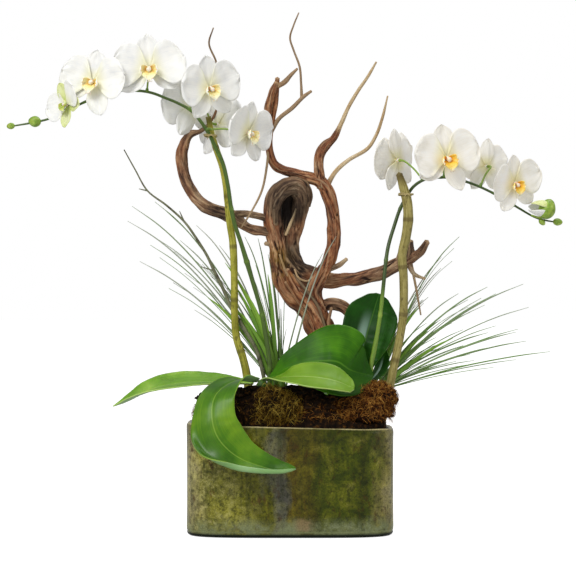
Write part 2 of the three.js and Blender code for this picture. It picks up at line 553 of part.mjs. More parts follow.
const GRASS_RIGHT_TIPS = [
  [354, 40, 240], [324, 55, 254], [307, 30, 267], [328, 62, 300], [319, 50, 332], [301, 70, 324],
  [269, 42, 328], [231, 58, 319], [208, 66, 354], [207, 50, 369], [232, 54, 397], [220, 36, 279],
  [273, 72, 265], [284, 38, 248], [190, 62, 314], [250, 84, 293],
];

// A band round the stake and the spike; lean follows their slope
function tie([x, y, z], reachX, reachY, lean) {
  const count = 14;
  const corners = [[0, -2], [1.1, -2], [1.1, 2], [0, 2]];
  const points = [];
  const triangles = [];
  for (let i = 0; i < count; i += 1) {
    const turn = 2 * Math.PI * i / count;
    const onward = 4 * ((i + 1) % count) - i * 4;
    corners.forEach(([out, rise], k) => {
      points.push(new THREE.Vector3(
        x + (reachX + out) * Math.cos(turn) + lean * rise, y + (reachY + out) * Math.sin(turn), z + rise));
      const a = i * 4 + k;
      const b = i * 4 + (k + 1) % 4;
      triangles.push([a, b, b + onward], [a, b + onward, a + onward]);
    });
  }
  return solidFrom(points, triangles);
}

// Everything that stands in the mound, a little wider, so that it stands in a plain hole
const holes = [
  stem(STAKE_LEFT.slice(0, 4), { grow: CLEARANCE }), stem(STAKE_RIGHT.slice(0, 4), { grow: CLEARANCE }),
  ...[SPIKE_LEFT, SPIKE_RIGHT].map((route) => stem(route.slice(0, 3), { sides: 5, grow: CLEARANCE })),
  stem(TWIG.slice(0, 3), { sides: 5, grow: CLEARANCE }),
  ...[CROWN_LEFT, CROWN_RIGHT].map((route) => stem(route, { sides: 8, grow: CLEARANCE })),
  ...[GRASS_LEFT_ROOT, GRASS_RIGHT_ROOT].map((root) => stem(clumpRoute(root), { grow: CLEARANCE })),
  stem(TRUNK.slice(0, 4), { sides: 8, gnarl: 0.09, grow: CLEARANCE }),
];
const without = (solid, cuts) => cuts.reduce((rest, cut) => rest.subtract(cut), solid);

addPiece('pot', planter(), COLOURS.glaze, { roughness: 0.2 });
const coverings = [mossClump(CLEARANCE), coirMat(CLEARANCE)];
addPiece('growing_medium', without(mound(), [...holes, ...coverings]), COLOURS.soil, { roughness: 0.95 });
addPiece('moss_clump', mossClump(0), COLOURS.moss, { roughness: 0.95 });
addPiece('coir_mat', without(coirMat(0), holes), COLOURS.coir, { roughness: 0.95 });
addPiece('driftwood', driftwood(), COLOURS.wood);
addPiece('stake_left', stem(STAKE_LEFT, { gnarl: 0.03 }), COLOURS.stakeLeft);
addPiece('stake_right', stem(STAKE_RIGHT, { gnarl: 0.03 }), COLOURS.stakeRight);
addPiece('spike_left', spikeLeft(), COLOURS.spike);
addPiece('spike_right', spikeRight(), COLOURS.spike);
addPiece('crown_left', stem(CROWN_LEFT, { sides: 8 }), COLOURS.leafDark);
addPiece('crown_right', stem(CROWN_RIGHT, { sides: 8 }), COLOURS.leafDark);
for (const [name, [colour, stations]] of Object.entries(LEAVES)) {
  addPiece(name, leaf(stations), colour, { roughness: 0.35 });
}
BLOOMS_LEFT.forEach((plan, index) => {
  addPiece(`bloom_left_${index + 1}`, bloom(plan), COLOURS.petal, { place: placeOf(plan) });
});
BLOOMS_RIGHT.forEach((plan, index) => {
  addPiece(`bloom_right_${index + 1}`, bloom(plan), COLOURS.petal, { place: placeOf(plan) });
});
addPiece('bud_right', lump([341, -12, 432], [13.5, 12, 14.5], { unevenness: 0.06 }), COLOURS.bud);
addPiece('tie_left', tie([-106.5, 2, 531], 8.2, 12, -0.5), COLOURS.tie);
addPiece('tie_right', tie([155.2, -0.7, 452], 9.6, 11.4, 0.2), COLOURS.tie);
addPiece('twig', stem(TWIG, { sides: 5 }), COLOURS.twig);
addPiece('grass_left', tuft(GRASS_LEFT_ROOT, GRASS_LEFT_TIPS, 7), COLOURS.grass);
addPiece('grass_right', tuft(GRASS_RIGHT_ROOT, GRASS_RIGHT_TIPS, 19), COLOURS.grass);

export default group;
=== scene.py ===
import math
import random

import bpy
from mathutils import Matrix, Vector, noise


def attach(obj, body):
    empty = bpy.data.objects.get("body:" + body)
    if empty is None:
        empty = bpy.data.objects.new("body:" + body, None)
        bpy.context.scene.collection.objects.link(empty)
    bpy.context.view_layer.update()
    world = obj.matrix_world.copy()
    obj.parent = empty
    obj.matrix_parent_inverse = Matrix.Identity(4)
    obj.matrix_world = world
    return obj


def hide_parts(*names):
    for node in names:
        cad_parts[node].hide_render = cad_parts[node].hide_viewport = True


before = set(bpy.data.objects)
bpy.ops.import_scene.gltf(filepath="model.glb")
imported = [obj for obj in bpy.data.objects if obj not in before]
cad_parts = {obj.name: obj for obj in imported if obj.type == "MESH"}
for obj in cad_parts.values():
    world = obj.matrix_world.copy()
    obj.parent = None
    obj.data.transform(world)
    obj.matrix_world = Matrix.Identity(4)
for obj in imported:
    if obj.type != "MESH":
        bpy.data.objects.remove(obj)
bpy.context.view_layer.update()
mm = 0.001
up = Vector((0, 0, 1))
print("frame loaded:", len(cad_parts), "nodes")


# small tools that every piece uses

def pick(piece):
    if bpy.context.object and bpy.context.object.mode != "OBJECT":
        bpy.ops.object.mode_set(mode="OBJECT")
    bpy.ops.object.select_all(action="DESELECT")
    if piece:
        piece.select_set(True)
        bpy.context.view_layer.objects.active = piece


def applyAll(piece):
    pick(piece)
    for name in [modifier.name for modifier in piece.modifiers]:
        bpy.ops.object.modifier_apply(modifier=name)


def joinPieces(pieces):
    pick(pieces[0])
    for piece in pieces:
        piece.select_set(True)
    bpy.ops.object.join()
    return pieces[0]


def settle(piece, name, replaces=(), materials=()):
    pick(piece)
    bpy.ops.object.transform_apply(location=True, rotation=True, scale=True)
    piece.name = piece.data.name = name
    if materials:
        piece.data.materials.clear()
        for material in materials:
            piece.data.materials.append(material)
    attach(piece, "root")
    if replaces:
        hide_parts(*replaces)
    return piece


def lerp(a, b, share):
    return a + (b - a) * share


def smooth(value, low, high):
    share = min(max((value - low) / (high - low), 0), 1)
    return share * share * (3 - 2 * share)


def tangentAt(line, at, step=0.002):
    return (line(min(1, at + step)) - line(max(0, at - step))).normalized()


def splineThrough(points):
    # one smooth curve through the points, the same as the solids follow
    knots = [Vector(point[:3]) for point in points]
    knots = [knots[0] * 2 - knots[1]] + knots + [knots[-1] * 2 - knots[-2]]

    def at(share):
        place = min(max(share, 0), 1) * (len(points) - 1)
        span = min(int(place), len(points) - 2)
        w = place - span
        a, b, c, d = knots[span:span + 4]
        ab, bc, cd = [math.sqrt((q - p).length) or 1 for p, q in ((a, b), (b, c), (c, d))]
        leave = ((b - a) / ab - (c - a) / (ab + bc) + (c - b) / bc) * bc
        arrive = ((c - b) / bc - (d - b) / (bc + cd) + (d - c) / cd) * bc
        return (b + leave * w + (3 * (c - b) - 2 * leave - arrive) * w * w
                + (2 * (b - c) + leave + arrive) * w ** 3)

    return at


def blendAlong(values, share):
    # smooth numbers between evenly spaced stations
    place = min(max(share, 0), 1) * (len(values) - 1)
    span = min(int(place), len(values) - 2)
    w = place - span
    b, c = values[span], values[span + 1]
    a = values[span - 1] if span > 0 else b
    d = values[span + 2] if span + 2 < len(values) else c
    leave, arrive = (c - a) / 2, (d - b) / 2
    return (b + leave * w + (3 * (c - b) - 2 * leave - arrive) * w * w
            + (2 * (b - c) + leave + arrive) * w ** 3)


def newShell():
    return {"points": [], "faces": [], "tones": [], "arounds": []}


def addTube(shell, route, sides=10, step=4, shape=None, tone=0.5, flat=1, roundTip=0.5, twist=0):
    # a tapered tube through [x, y, z, radius] points, in mm; shape gives its section and its tones
    line = splineThrough(route)
    ats, radii = [], []
    for span in range(len(route) - 1):
        length = (Vector(route[span + 1][:3]) - Vector(route[span][:3])).length
        parts = max(1, round(length / step))
        for part in range(parts):
            share = part / parts
            ats.append((span + share) / (len(route) - 1))
            radii.append(lerp(route[span][3], route[span + 1][3], share * share * (3 - 2 * share)))
    ats.append(1)
    radii.append(route[-1][3])
    start = len(shell["points"])
    along = 0
    normal = last = None
    for i, at in enumerate(ats):
        centre = line(at)
        tangent = tangentAt(line, at)
        if normal is None:
            normal = tangent.cross(up if abs(tangent.y) > 0.9 else Vector((0, 1, 0)))
        normal = (normal - tangent * normal.dot(tangent)).normalized()
        side = tangent.cross(normal)
        along += (centre - last).length if last else 0
        last = centre
        for k in range(sides):
            turn = 2 * math.pi * k / sides
            factor, tones = shape(turn, along, radii[i]) if shape else (1, (tone, 0, 0))
            reach = radii[i] * factor
            shell["points"].append(centre + normal * reach * math.cos(turn)
                                   + side * reach * flat * math.sin(turn))
            shell["tones"].append(tones)
            wound = turn + twist * along
            shell["arounds"].append((math.cos(wound), math.sin(wound), along / 30 + start % 97))
    rings = len(ats)
    for i in range(rings - 1):
        for k in range(sides):
            a, b = start + i * sides + k, start + i * sides + (k + 1) % sides
            shell["faces"].append((a, b, b + sides, a + sides))
    for ring, sign in ((0, -1), (rings - 1, 1)):  # both ends are closed
        first = start + ring * sides
        tangent = tangentAt(line, ats[ring])
        middle = sum((shell["points"][first + k] for k in range(sides)), Vector()) / sides
        shell["points"].append(middle + tangent * sign * radii[ring] * roundTip)
        shell["tones"].append(shell["tones"][first])
        shell["arounds"].append((0, 0, shell["arounds"][first][2]))
        pole = len(shell["points"]) - 1
        for k in range(sides):
            a, b = first + k, first + (k + 1) % sides
            shell["faces"].append((pole, b, a) if sign < 0 else (pole, a, b))


def shellMesh(shell, name):
    mesh = bpy.data.meshes.new(name)
    mesh.from_pydata([point * mm for point in shell["points"]], [], shell["faces"])
    for key, values in (("tone", shell["tones"]), ("around", shell["arounds"])):
        layer = mesh.attributes.new(key, "FLOAT_VECTOR", "POINT")
        layer.data.foreach_set("vector", [number for value in values for number in value])
    mesh.polygons.foreach_set("use_smooth", [True] * len(mesh.polygons))
    piece = bpy.data.objects.new(name, mesh)
    bpy.context.scene.collection.objects.link(piece)
    return piece


def shellPiece(shell, name, replaces=(), materials=()):
    return settle(shellMesh(shell, name), name, replaces, materials)


def addGrid(across, along):
    # a flat grid with a map: its first number runs across, the second along
    pick(None)
    bpy.ops.mesh.primitive_grid_add(x_subdivisions=across, y_subdivisions=along, size=2)
    return bpy.context.object


def shapeGrid(piece, surface, thickness, underMaterial=0):
    # the grid takes the surface's shape, in mm, and becomes a thin closed sheet
    for vertex in piece.data.vertices:
        c, s = vertex.co.x, (vertex.co.y + 1) / 2
        vertex.co = surface(s, c) * mm
    pick(piece)
    bpy.ops.object.mode_set(mode="EDIT")
    bpy.ops.mesh.select_all(action="SELECT")
    bpy.ops.mesh.remove_doubles(threshold=0.00002)
    bpy.ops.object.mode_set(mode="OBJECT")
    bpy.ops.object.shade_smooth()
    wall = piece.modifiers.new("wall", "SOLIDIFY")
    wall.thickness = thickness * mm
    wall.offset = 0
    wall.material_offset = underMaterial
    applyAll(piece)


# small tools for materials

def shade(code):
    # an ordinary six-figure screen colour
    parts = [int(code[i:i + 2], 16) / 255 for i in (0, 2, 4)]
    return tuple(p / 12.92 if p <= 0.04045 else ((p + 0.055) / 1.055) ** 2.4 for p in parts) + (1,)


def newMaterial(name, **settings):
    material = bpy.data.materials.new(name)
    material.use_nodes = True
    shader = material.node_tree.nodes["Principled BSDF"]
    for socket, value in settings.items():
        shader.inputs[socket.replace("_", " ")].default_value = value
    return material


def add(material, kind, inputs=None, **settings):
    node = material.node_tree.nodes.new(kind)
    for key, value in settings.items():
        setattr(node, key, value)
    for key, value in (inputs or {}).items():
        if isinstance(value, bpy.types.NodeSocket):
            material.node_tree.links.new(value, node.inputs[key])
        else:
            node.inputs[key].default_value = value
    return node


def drive(material, socket, value):
    shader = material.node_tree.nodes["Principled BSDF"]
    material.node_tree.links.new(value, shader.inputs[socket])


def scaled(material, place, scale):
    return add(material, "ShaderNodeMapping", {"Vector": place, "Scale": scale}).outputs[0]


def splitUp(material, place):
    return add(material, "ShaderNodeSeparateXYZ", {"Vector": place}).outputs


def objectPlace(material, scale=(1, 1, 1)):
    return scaled(material, add(material, "ShaderNodeTexCoord").outputs["Object"], scale)


def mapPlace(material, scale=(1, 1, 1)):
    return scaled(material, add(material, "ShaderNodeUVMap", uv_map="UVMap").outputs[0], scale)


def attributeOf(material, name):
    return add(material, "ShaderNodeAttribute", attribute_name=name).outputs["Vector"]


def aroundPlace(material, scale=(1, 1, 1)):
    # a place that runs round a tube and along it, with no seam
    return scaled(material, attributeOf(material, "around"), scale)


def tonesOf(material):
    return splitUp(material, attributeOf(material, "tone"))


def near(material, centre, low, high):
    # one close to a place in mm, and nothing far from it
    place = add(material, "ShaderNodeTexCoord").outputs["Object"]
    gap = add(material, "ShaderNodeVectorMath", {0: place, 1: Vector(centre) * mm}, operation="DISTANCE")
    return between(material, gap.outputs["Value"], low * mm, high * mm, 1.0, 0.0)


def cloud(material, place, scale, detail=4, roughness=0.55, distortion=0):
    return add(material, "ShaderNodeTexNoise", {
        "Vector": place, "Scale": scale, "Detail": detail, "Roughness": roughness,
        "Distortion": distortion}).outputs[0]


def ramp(material, value, stops):
    # stops are a position and either a colour or a grey level
    node = add(material, "ShaderNodeValToRGB", {"Fac": value})
    while len(node.color_ramp.elements) < len(stops):
        node.color_ramp.elements.new(0.5)
    for element, (position, colour) in zip(node.color_ramp.elements, stops):
        element.position = position
    for element, (position, colour) in zip(node.color_ramp.elements, stops):
        element.color = shade(colour) if isinstance(colour, str) else (colour, colour, colour, 1)
    return node.outputs[0]


def blendColours(material, share, a, b):
    node = add(material, "ShaderNodeMix", data_type="RGBA")
    for index, value in ((0, share), (6, a), (7, b)):
        if isinstance(value, bpy.types.NodeSocket):
            material.node_tree.links.new(value, node.inputs[index])
        elif isinstance(value, str):
            node.inputs[index].default_value = shade(value)
        else:
            node.inputs[index].default_value = value
    return node.outputs[2]


def paintOver(material, colour, *layers):
    # each layer is how much of it shows, and its colour
    for share, code in layers:
        colour = blendColours(material, share, colour, code)
    return colour


def maths(material, kind, a, b=0.0, c=0.0):
    return add(material, "ShaderNodeMath", {0: a, 1: b, 2: c}, operation=kind).outputs[0]


def plus(material, a, b):
    return maths(material, "ADD", a, b)


def times(material, *values):
    result = values[0]
    for value in values[1:]:
        result = maths(material, "MULTIPLY", result, value)
    return result


def between(material, value, low, high, first=0.0, last=1.0):
    return add(material, "ShaderNodeMapRange", {
        "Value": value, "From Min": low, "From Max": high, "To Min": first, "To Max": last,
    }, interpolation_type="SMOOTHSTEP").outputs[0]


def bumps(material, height, distance, strength=1.0):
    bump = add(material, "ShaderNodeBump", {
        "Height": height, "Distance": distance * mm, "Strength": strength})
    drive(material, "Normal", bump.outputs[0])


# planter

planterLook = {
    "halfLength": 138, "halfDepth": 65, "rimDrop": 3.5, "squareness": 4, "segments": 128, "wobble": 0.5,
    # inset from the outside, height, and how much of the rim's slope it follows
    "outside": [(6, 0, 0), (3.4, 0.3, 0), (1.6, 1.6, 0), (0.7, 3.4, 0), (1.5, 4.6, 0), (1.5, 5.6, 0),
                (0.5, 7, 0), (0.2, 11, 0), (0.4, 30, 0.1), (0.5, 55, 0.3), (0.5, 80, 0.5),
                (0.4, 105, 0.7), (0.2, 128, 0.9), (0.1, 138, 1), (0.3, 141.5, 1), (1.2, 143.6, 1),
                (2.6, 144.4, 1), (4.6, 144.4, 1), (6.2, 143.7, 1), (7.4, 142, 1), (8, 139, 1),
                (8.6, 90, 0.6), (9, 22, 0.1), (11, 13, 0), (16, 10, 0)],
}


def closeRing():
    # the selected ring is drawn together to one point
    bpy.ops.mesh.extrude_region_move(TRANSFORM_OT_translate={"value": (0, 0, 0)})
    bpy.ops.mesh.merge(type="CENTER")


def makePlanter(look):
    pick(None)
    bpy.ops.mesh.primitive_circle_add(vertices=look["segments"], radius=1, fill_type="NOTHING")
    piece = bpy.context.object
    inset, height, _ = look["outside"][0]
    wide, deep = look["halfLength"] - inset, look["halfDepth"] - inset
    for vertex in piece.data.vertices:  # the circle becomes a rounded rectangle with bowed sides
        x, y = vertex.co.x, vertex.co.y
        power = 2 / look["squareness"]
        vertex.co = Vector((math.copysign(abs(x) ** power, x) * wide * mm,
                            math.copysign(abs(y) ** power, y) * deep * mm, height * mm))
    bpy.ops.object.mode_set(mode="EDIT")
    bpy.ops.mesh.select_all(action="SELECT")
    for inset, rise, _ in look["outside"][1:]:
        newWide, newDeep = look["halfLength"] - inset, look["halfDepth"] - inset
        bpy.ops.mesh.extrude_region_move(TRANSFORM_OT_translate={"value": (0, 0, (rise - height) * mm)})
        bpy.ops.transform.resize(value=(newWide / wide, newDeep / deep, 1),
                                 center_override=(0, 0, rise * mm))
        wide, deep, height = newWide, newDeep, rise
    closeRing()  # the floor inside
    bpy.ops.mesh.select_all(action="DESELECT")
    bpy.ops.object.mode_set(mode="OBJECT")
    for vertex in piece.data.vertices:
        vertex.select = vertex.co.z < 0.0001 * mm
    bpy.ops.object.mode_set(mode="EDIT")
    closeRing()  # the underside
    bpy.ops.mesh.select_all(action="SELECT")
    bpy.ops.mesh.normals_make_consistent(inside=False)
    bpy.ops.object.mode_set(mode="OBJECT")
    slopes = [(rise, slope) for _, rise, slope in look["outside"][:18]]
    for vertex in piece.data.vertices:  # the rim falls to the right, and the walls are hand made
        x, y, z = vertex.co / mm
        share = 0
        for (lowZ, lowSlope), (highZ, highSlope) in zip(slopes, slopes[1:]):
            if lowZ <= z <= highZ:
                share = lerp(lowSlope, highSlope, (z - lowZ) / max(highZ - lowZ, 0.01))
        z -= share * look["rimDrop"] * x / look["halfLength"]
        wave = noise.noise(Vector((x, y, z)) / 46) * look["wobble"] * smooth(z, 4, 30)
        inward = Vector((x / look["halfLength"], y / look["halfDepth"], 0)).normalized()
        z += noise.noise(Vector((x, y, 0)) / 30 + Vector((7, 0, 0))) * 0.8 * smooth(z, 120, 142)
        vertex.co = (Vector((x, y, z)) - inward * abs(wave)) * mm
    bpy.ops.object.shade_smooth()
    return settle(piece, "planter", ["pot"], [makeGlaze(glazeLook)])


glazeLook = {
    "zones": [  # from the left edge to the right; the pale stops at both ends are painted light on the rounded ends
        (0.00, "c9ba8e"), (0.045, "b5a86c"), (0.08, "85803a"), (0.20, "a09a44"), (0.33, "85801f"),
        (0.385, "6f6b14"), (0.41, "807c70"), (0.47, "7b7570"), (0.51, "73551c"), (0.585, "614b12"),
        (0.65, "475305"), (0.80, "4a5906"), (0.855, "1a2203"), (0.895, "53610c"), (0.945, "a0935a"),
        (1.00, "d6c692")],
    "mottle": [(0.34, "0d1201"), (0.43, "353b03"), (0.52, "65670a"), (0.62, "969128"), (0.74, "cdc06c")],
    "pale": "b9b26a", "run": "262e04", "rust": "4b2d08", "speck": "1b2003", "lightSpeck": "c0b774",
    # the dark olive under the rim is painted shade
    "dim": "232a00", "low": "7e8560", "pink": "8a6f4e", "underRimShade": "22250a", "foot": "10180a",
    "footLine": "8c9463", "rim": "cbbd88", "crack": "0c1002", "crackCells": 330,
}


def makeGlaze(look):
    glaze = newMaterial("glaze", Roughness=0.22, Coat_Weight=0.06, Coat_Roughness=0.08,
                        Specular_IOR_Level=0.16)
    place = objectPlace(glaze)
    x, _, z = splitUp(glaze, place)
    wander = cloud(glaze, objectPlace(glaze, (1, 1, 0.5)), 26, 5, 0.6)
    blotch = cloud(glaze, place, 55, 6, 0.65)
    runs = cloud(glaze, objectPlace(glaze, (1, 1, 0.08)), 130, 6, 0.62)  # the glaze ran down
    rust = cloud(glaze, objectPlace(glaze, (1, 1, 0.6)), 80, 7, 0.7)
    speck = cloud(glaze, place, 170, 6, 0.7)
    across = plus(glaze, x, between(glaze, wander, 0.3, 0.7, -0.011, 0.011))
    across = maths(glaze, "MULTIPLY_ADD", across, 1 / (2 * planterLook["halfLength"] * mm), 0.5)
    left = between(glaze, x, -0.13, -0.01, 1.0, 0.0)
    lowEdge = plus(glaze, z, times(glaze, wander, -0.016))
    rimHeight = plus(glaze, z, times(glaze, x, planterLook["rimDrop"] / planterLook["halfLength"]))
    cells = add(glaze, "ShaderNodeTexVoronoi", {"Vector": place, "Scale": look["crackCells"]},
                feature="DISTANCE_TO_EDGE").outputs["Distance"]
    crack = between(glaze, cells, 0.0, 0.07, 1.0, 0.0)
    mottle = ramp(glaze, cloud(glaze, place, 44, 8, 0.7, 0.5), look["mottle"])
    shares = {  # how much of each colour lies over those before it
        "pale": times(glaze, left, between(glaze, blotch, 0.46, 0.66), 0.8),
        "run": ramp(glaze, runs, [(0.47, 0.0), (0.7, 0.55)]),
        "rust": ramp(glaze, rust, [(0.55, 0.0), (0.66, 0.85)]),
        "speck": ramp(glaze, speck, [(0.4, 0.6), (0.48, 0.0)]),
        "lightSpeck": times(glaze, left, ramp(glaze, speck, [(0.53, 0.0), (0.64, 0.5)])),
        "dim": times(glaze, between(glaze, across, 0.36, 0.62, 0.0, 0.3),
                     between(glaze, across, 0.92, 0.97, 1.0, 0.1)),  # the right side, but not its edge
        "low": times(glaze, between(glaze, lowEdge, 0.004, 0.022, 1.0, 0.0),
                     between(glaze, blotch, 0.38, 0.6, 0.25, 0.9)),
        "pink": times(glaze, near(glaze, (18, -65, 17), 4, 17), between(glaze, blotch, 0.4, 0.6), 0.7),
        # the wall darkens towards the rim: painted shade
        "underRimShade": between(glaze, z, 0.104, 0.143, 0.0, 0.45),
        "foot": between(glaze, z, 0.0035, 0.0062, 1.0, 0.0),
        "footLine": times(glaze, between(glaze, z, 0.0058, 0.0072),
                          between(glaze, z, 0.0072, 0.0095, 1.0, 0.0), 0.6),
        "rim": times(glaze, between(glaze, rimHeight, 0.1426, 0.1444),
                     between(glaze, blotch, 0.36, 0.56, 0.4, 0.95)),
        "crack": times(glaze, crack, 0.5),
    }
    colour = blendColours(glaze, 0.5, ramp(glaze, across, look["zones"]), mottle)
    drive(glaze, "Base Color", paintOver(
        glaze, colour, *[(share, look[name]) for name, share in shares.items()]))
    drive(glaze, "Roughness", between(glaze, blotch, 0.3, 0.7, 0.14, 0.34))
    bumps(glaze, plus(glaze, runs, times(glaze, crack, -0.25)), 0.5, 0.4)
    return glaze


makePlanter(planterLook)
print("planter made")


# growing medium, moss and coir

moundLook = {
    "shoulder": 177, "crest": 190, "remesh": 2.6, "roughness": 3.4, "chips": 640, "chipSize": (2.2, 7.5),
    "chipSpread": (126, 54),  # how far the chips reach from the middle
}


def makeMound(look):
    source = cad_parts["growing_medium"]
    pick(source)
    bpy.ops.object.duplicate()
    piece = bpy.context.object
    for key in list(piece.keys()):
        del piece[key]
    piece.parent = None
    pick(piece)
    bpy.ops.object.mode_set(mode="EDIT")
    bpy.ops.mesh.select_all(action="SELECT")
    bpy.ops.mesh.remove_doubles(threshold=0.00001)
    bpy.ops.object.mode_set(mode="OBJECT")
    remesh = piece.modifiers.new("remesh", "REMESH")
    remesh.mode = "VOXEL"
    remesh.voxel_size = look["remesh"] * mm
    applyAll(piece)
    points = [vertex.co / mm for vertex in piece.data.vertices]
    normals = [vertex.normal.copy() for vertex in piece.data.vertices]
    for vertex, point, normal in zip(piece.data.vertices, points, normals):
        free = smooth(point.z, 139, 152)  # below the rim it stays inside the planter
        coarse = noise.noise(point / 13) * 1.0 + noise.noise(point / 6 + Vector((9, 2, 5))) * 0.7
        fine = noise.noise(point / 2.6 + Vector((4, 4, 1))) * 0.45
        reach = look["roughness"] * (coarse + fine) * free
        if point.z < 160:
            reach = min(reach, 1.0)
        vertex.co = (point + normal * reach) * mm
    bpy.ops.object.shade_smooth()
    return settle(piece, "barkMound", ["growing_medium"], [makeSoil("soil", "21140a", "080402")])


def makeSoil(name, light, dark):
    soil = newMaterial(name, Roughness=0.92, Specular_IOR_Level=0.12)
    place = objectPlace(soil)
    lumps = cloud(soil, place, 210, 8, 0.7)
    colour = ramp(soil, lumps, [(0.38, dark), (0.54, light), (0.63, "52340f"), (0.74, "86602c")])
    drive(soil, "Base Color", colour)
    bumps(soil, lumps, 2.2, 0.9)
    return soil


def moundTop(x, y):
    # how high the mound stands above a place
    side = 1 - min(1, abs(y) / planterLook["halfDepth"]) ** 2
    edge = max(abs(x) / 116, abs(y) / 46)
    return lerp(moundLook["shoulder"], moundLook["crest"], side) - 12 * smooth(edge, 0.85, 1.1)


def scatterChips(look):
    draw = random.Random(5)
    pick(None)
    bpy.ops.mesh.primitive_cube_add(size=1)  # one chip of bark, bevelled and bent a little
    chip = bpy.context.object
    bpy.ops.object.mode_set(mode="EDIT")
    bpy.ops.mesh.select_all(action="SELECT")
    bpy.ops.mesh.bevel(offset=0.16, segments=1, affect="EDGES")
    bpy.ops.object.mode_set(mode="OBJECT")
    noise.seed_set(5)  # noise_vector follows this seed, and without it the clock
    for vertex in chip.data.vertices:
        warp = noise.noise_vector(vertex.co * 2) * 0.16
        vertex.co += Vector((0, 0, 0.5 * vertex.co.x * vertex.co.x)) + warp
    chips = []
    while len(chips) < look["chips"]:
        x, y = draw.uniform(-122, 122), draw.uniform(-53, 50)
        if abs(x / look["chipSpread"][0]) ** 4 + abs(y / look["chipSpread"][1]) ** 4 > 1:
            continue
        size = draw.uniform(*look["chipSize"])
        copy = bpy.data.objects.new("chip", chip.data.copy())
        bpy.context.scene.collection.objects.link(copy)
        spin = Matrix.Rotation(draw.uniform(0, 6.3), 4, "Z")
        lean = Matrix.Rotation(draw.uniform(-0.7, 0.7), 4, "X")
        copy.data.transform(Matrix.Translation(Vector((x, y, moundTop(x, y) + 0.4)) * mm) @ spin @ lean
                            @ Matrix.Diagonal((size * 1.6 * mm, size * mm, size * 0.45 * mm, 1)))
        chips.append(copy)
    bpy.data.objects.remove(chip)
    piece = joinPieces(chips)
    return settle(piece, "barkChips", (), [makeSoil("barkChip", "2c1b0d", "0a0502")])


def addFibres(shell, centre, radii, count, seed, length, spread, drop, width, low=-0.2):
    # loose curved fibres lying over a lump
    draw = random.Random(seed)
    made = 0
    while made < count:
        way = Vector((draw.gauss(0, 1), draw.gauss(0, 1), draw.gauss(0, 1))).normalized()
        if way.z < low or way.y > 0.75:
            continue
        made += 1
        foot = Vector([c + w * r * 0.97 for c, w, r in zip(centre, way, radii)])
        aside = way.cross(Vector((draw.gauss(0, 1), draw.gauss(0, 1), draw.gauss(0, 1)))).normalized()
        reach = length * draw.uniform(0.5, 1.2)
        lift = draw.uniform(0.05, 0.3) * spread
        first = foot + aside * reach * 0.45 + way * lift * reach
        second = foot + aside * reach * 0.85 + way * lift * reach * 0.6 + Vector((0, 0, -drop * reach))
        tone = draw.random()
        thick = width * draw.uniform(0.6, 1.3)
        addTube(shell, [[*(foot - way * 1.5), thick], [*first, thick], [*second, thick * 0.5]],
                sides=3, step=reach / 4, tone=tone)


def roughBall(centre, radii, reach, shift, coarse, fine):
    # one uneven lump, in mm
    pick(None)
    bpy.ops.mesh.primitive_ico_sphere_add(subdivisions=5, radius=1)
    ball = bpy.context.object
    for vertex in ball.data.vertices:
        way = vertex.co.normalized()
        spot = Vector([c + w * r for c, w, r in zip(centre, way, radii)])
        rough = noise.noise(spot / coarse + Vector(shift)) * 0.2 + noise.noise(spot / fine) * 0.09
        vertex.co = Vector([c + w * r * (reach + rough) for c, w, r in zip(centre, way, radii)]) * mm
    bpy.ops.object.shade_smooth()
    return ball


coverLook = {  # lumps as centre and radii, and the colours of what lies on them
    "heaps": [((6, -14, 182), (42, 26, 15)), ((-48, -14, 180), (34, 24, 17)),
              ((70, -6, 180), (36, 30, 15))],
    "moss": [((-22, -44, 171), (23, 14, 25)), ((-3, -45, 166), (17, 14, 19)),
             ((-35, -42, 160), (15, 12, 15))],
    "coir": [((92, -39, 165), (49, 17, 18)), ((111, -22, 180), (33, 28, 23))],
    "mossDark": [(0.36, "040200"), (0.52, "1a1003"), (0.64, "4c360b"), (0.78, "8a6a20")],
    "mossFibre": [(0.22, "160d01"), (0.42, "4e3507"), (0.58, "88681a"), (0.74, "c4a84c")],
    "coirDark": [(0.36, "050200"), (0.52, "200e03"), (0.64, "55300c"), (0.78, "8f5e24")],
    "coirFibre": [(0.22, "190a02"), (0.4, "55290a"), (0.56, "8f581c"), (0.74, "cc9648")],
}


def makeHump(look):
    # bark heaped round the feet of the plants
    balls = [roughBall(centre, radii, 0.95, (number, 0, 3), 11, 4)
             for number, (centre, radii) in enumerate(look["heaps"])]
    settle(joinPieces(balls), "barkHump", (), [makeSoil("barkHeap", "21140a", "080402")])


def makeFibreLook(name, stops, body):
    fibre = newMaterial(name, Roughness=0.85, Specular_IOR_Level=0.12)
    value = patch = cloud(fibre, objectPlace(fibre), 90, 5, 0.6)
    if not body:  # each fibre has a tone of its own
        value = plus(fibre, times(fibre, tonesOf(fibre)["X"], 0.5), times(fibre, patch, 0.5))
    drive(fibre, "Base Color", ramp(fibre, value, stops))
    fuzz = cloud(fibre, objectPlace(fibre), 700, 6, 0.75)
    bumps(fibre, fuzz, 1.4, 0.8)
    return fibre


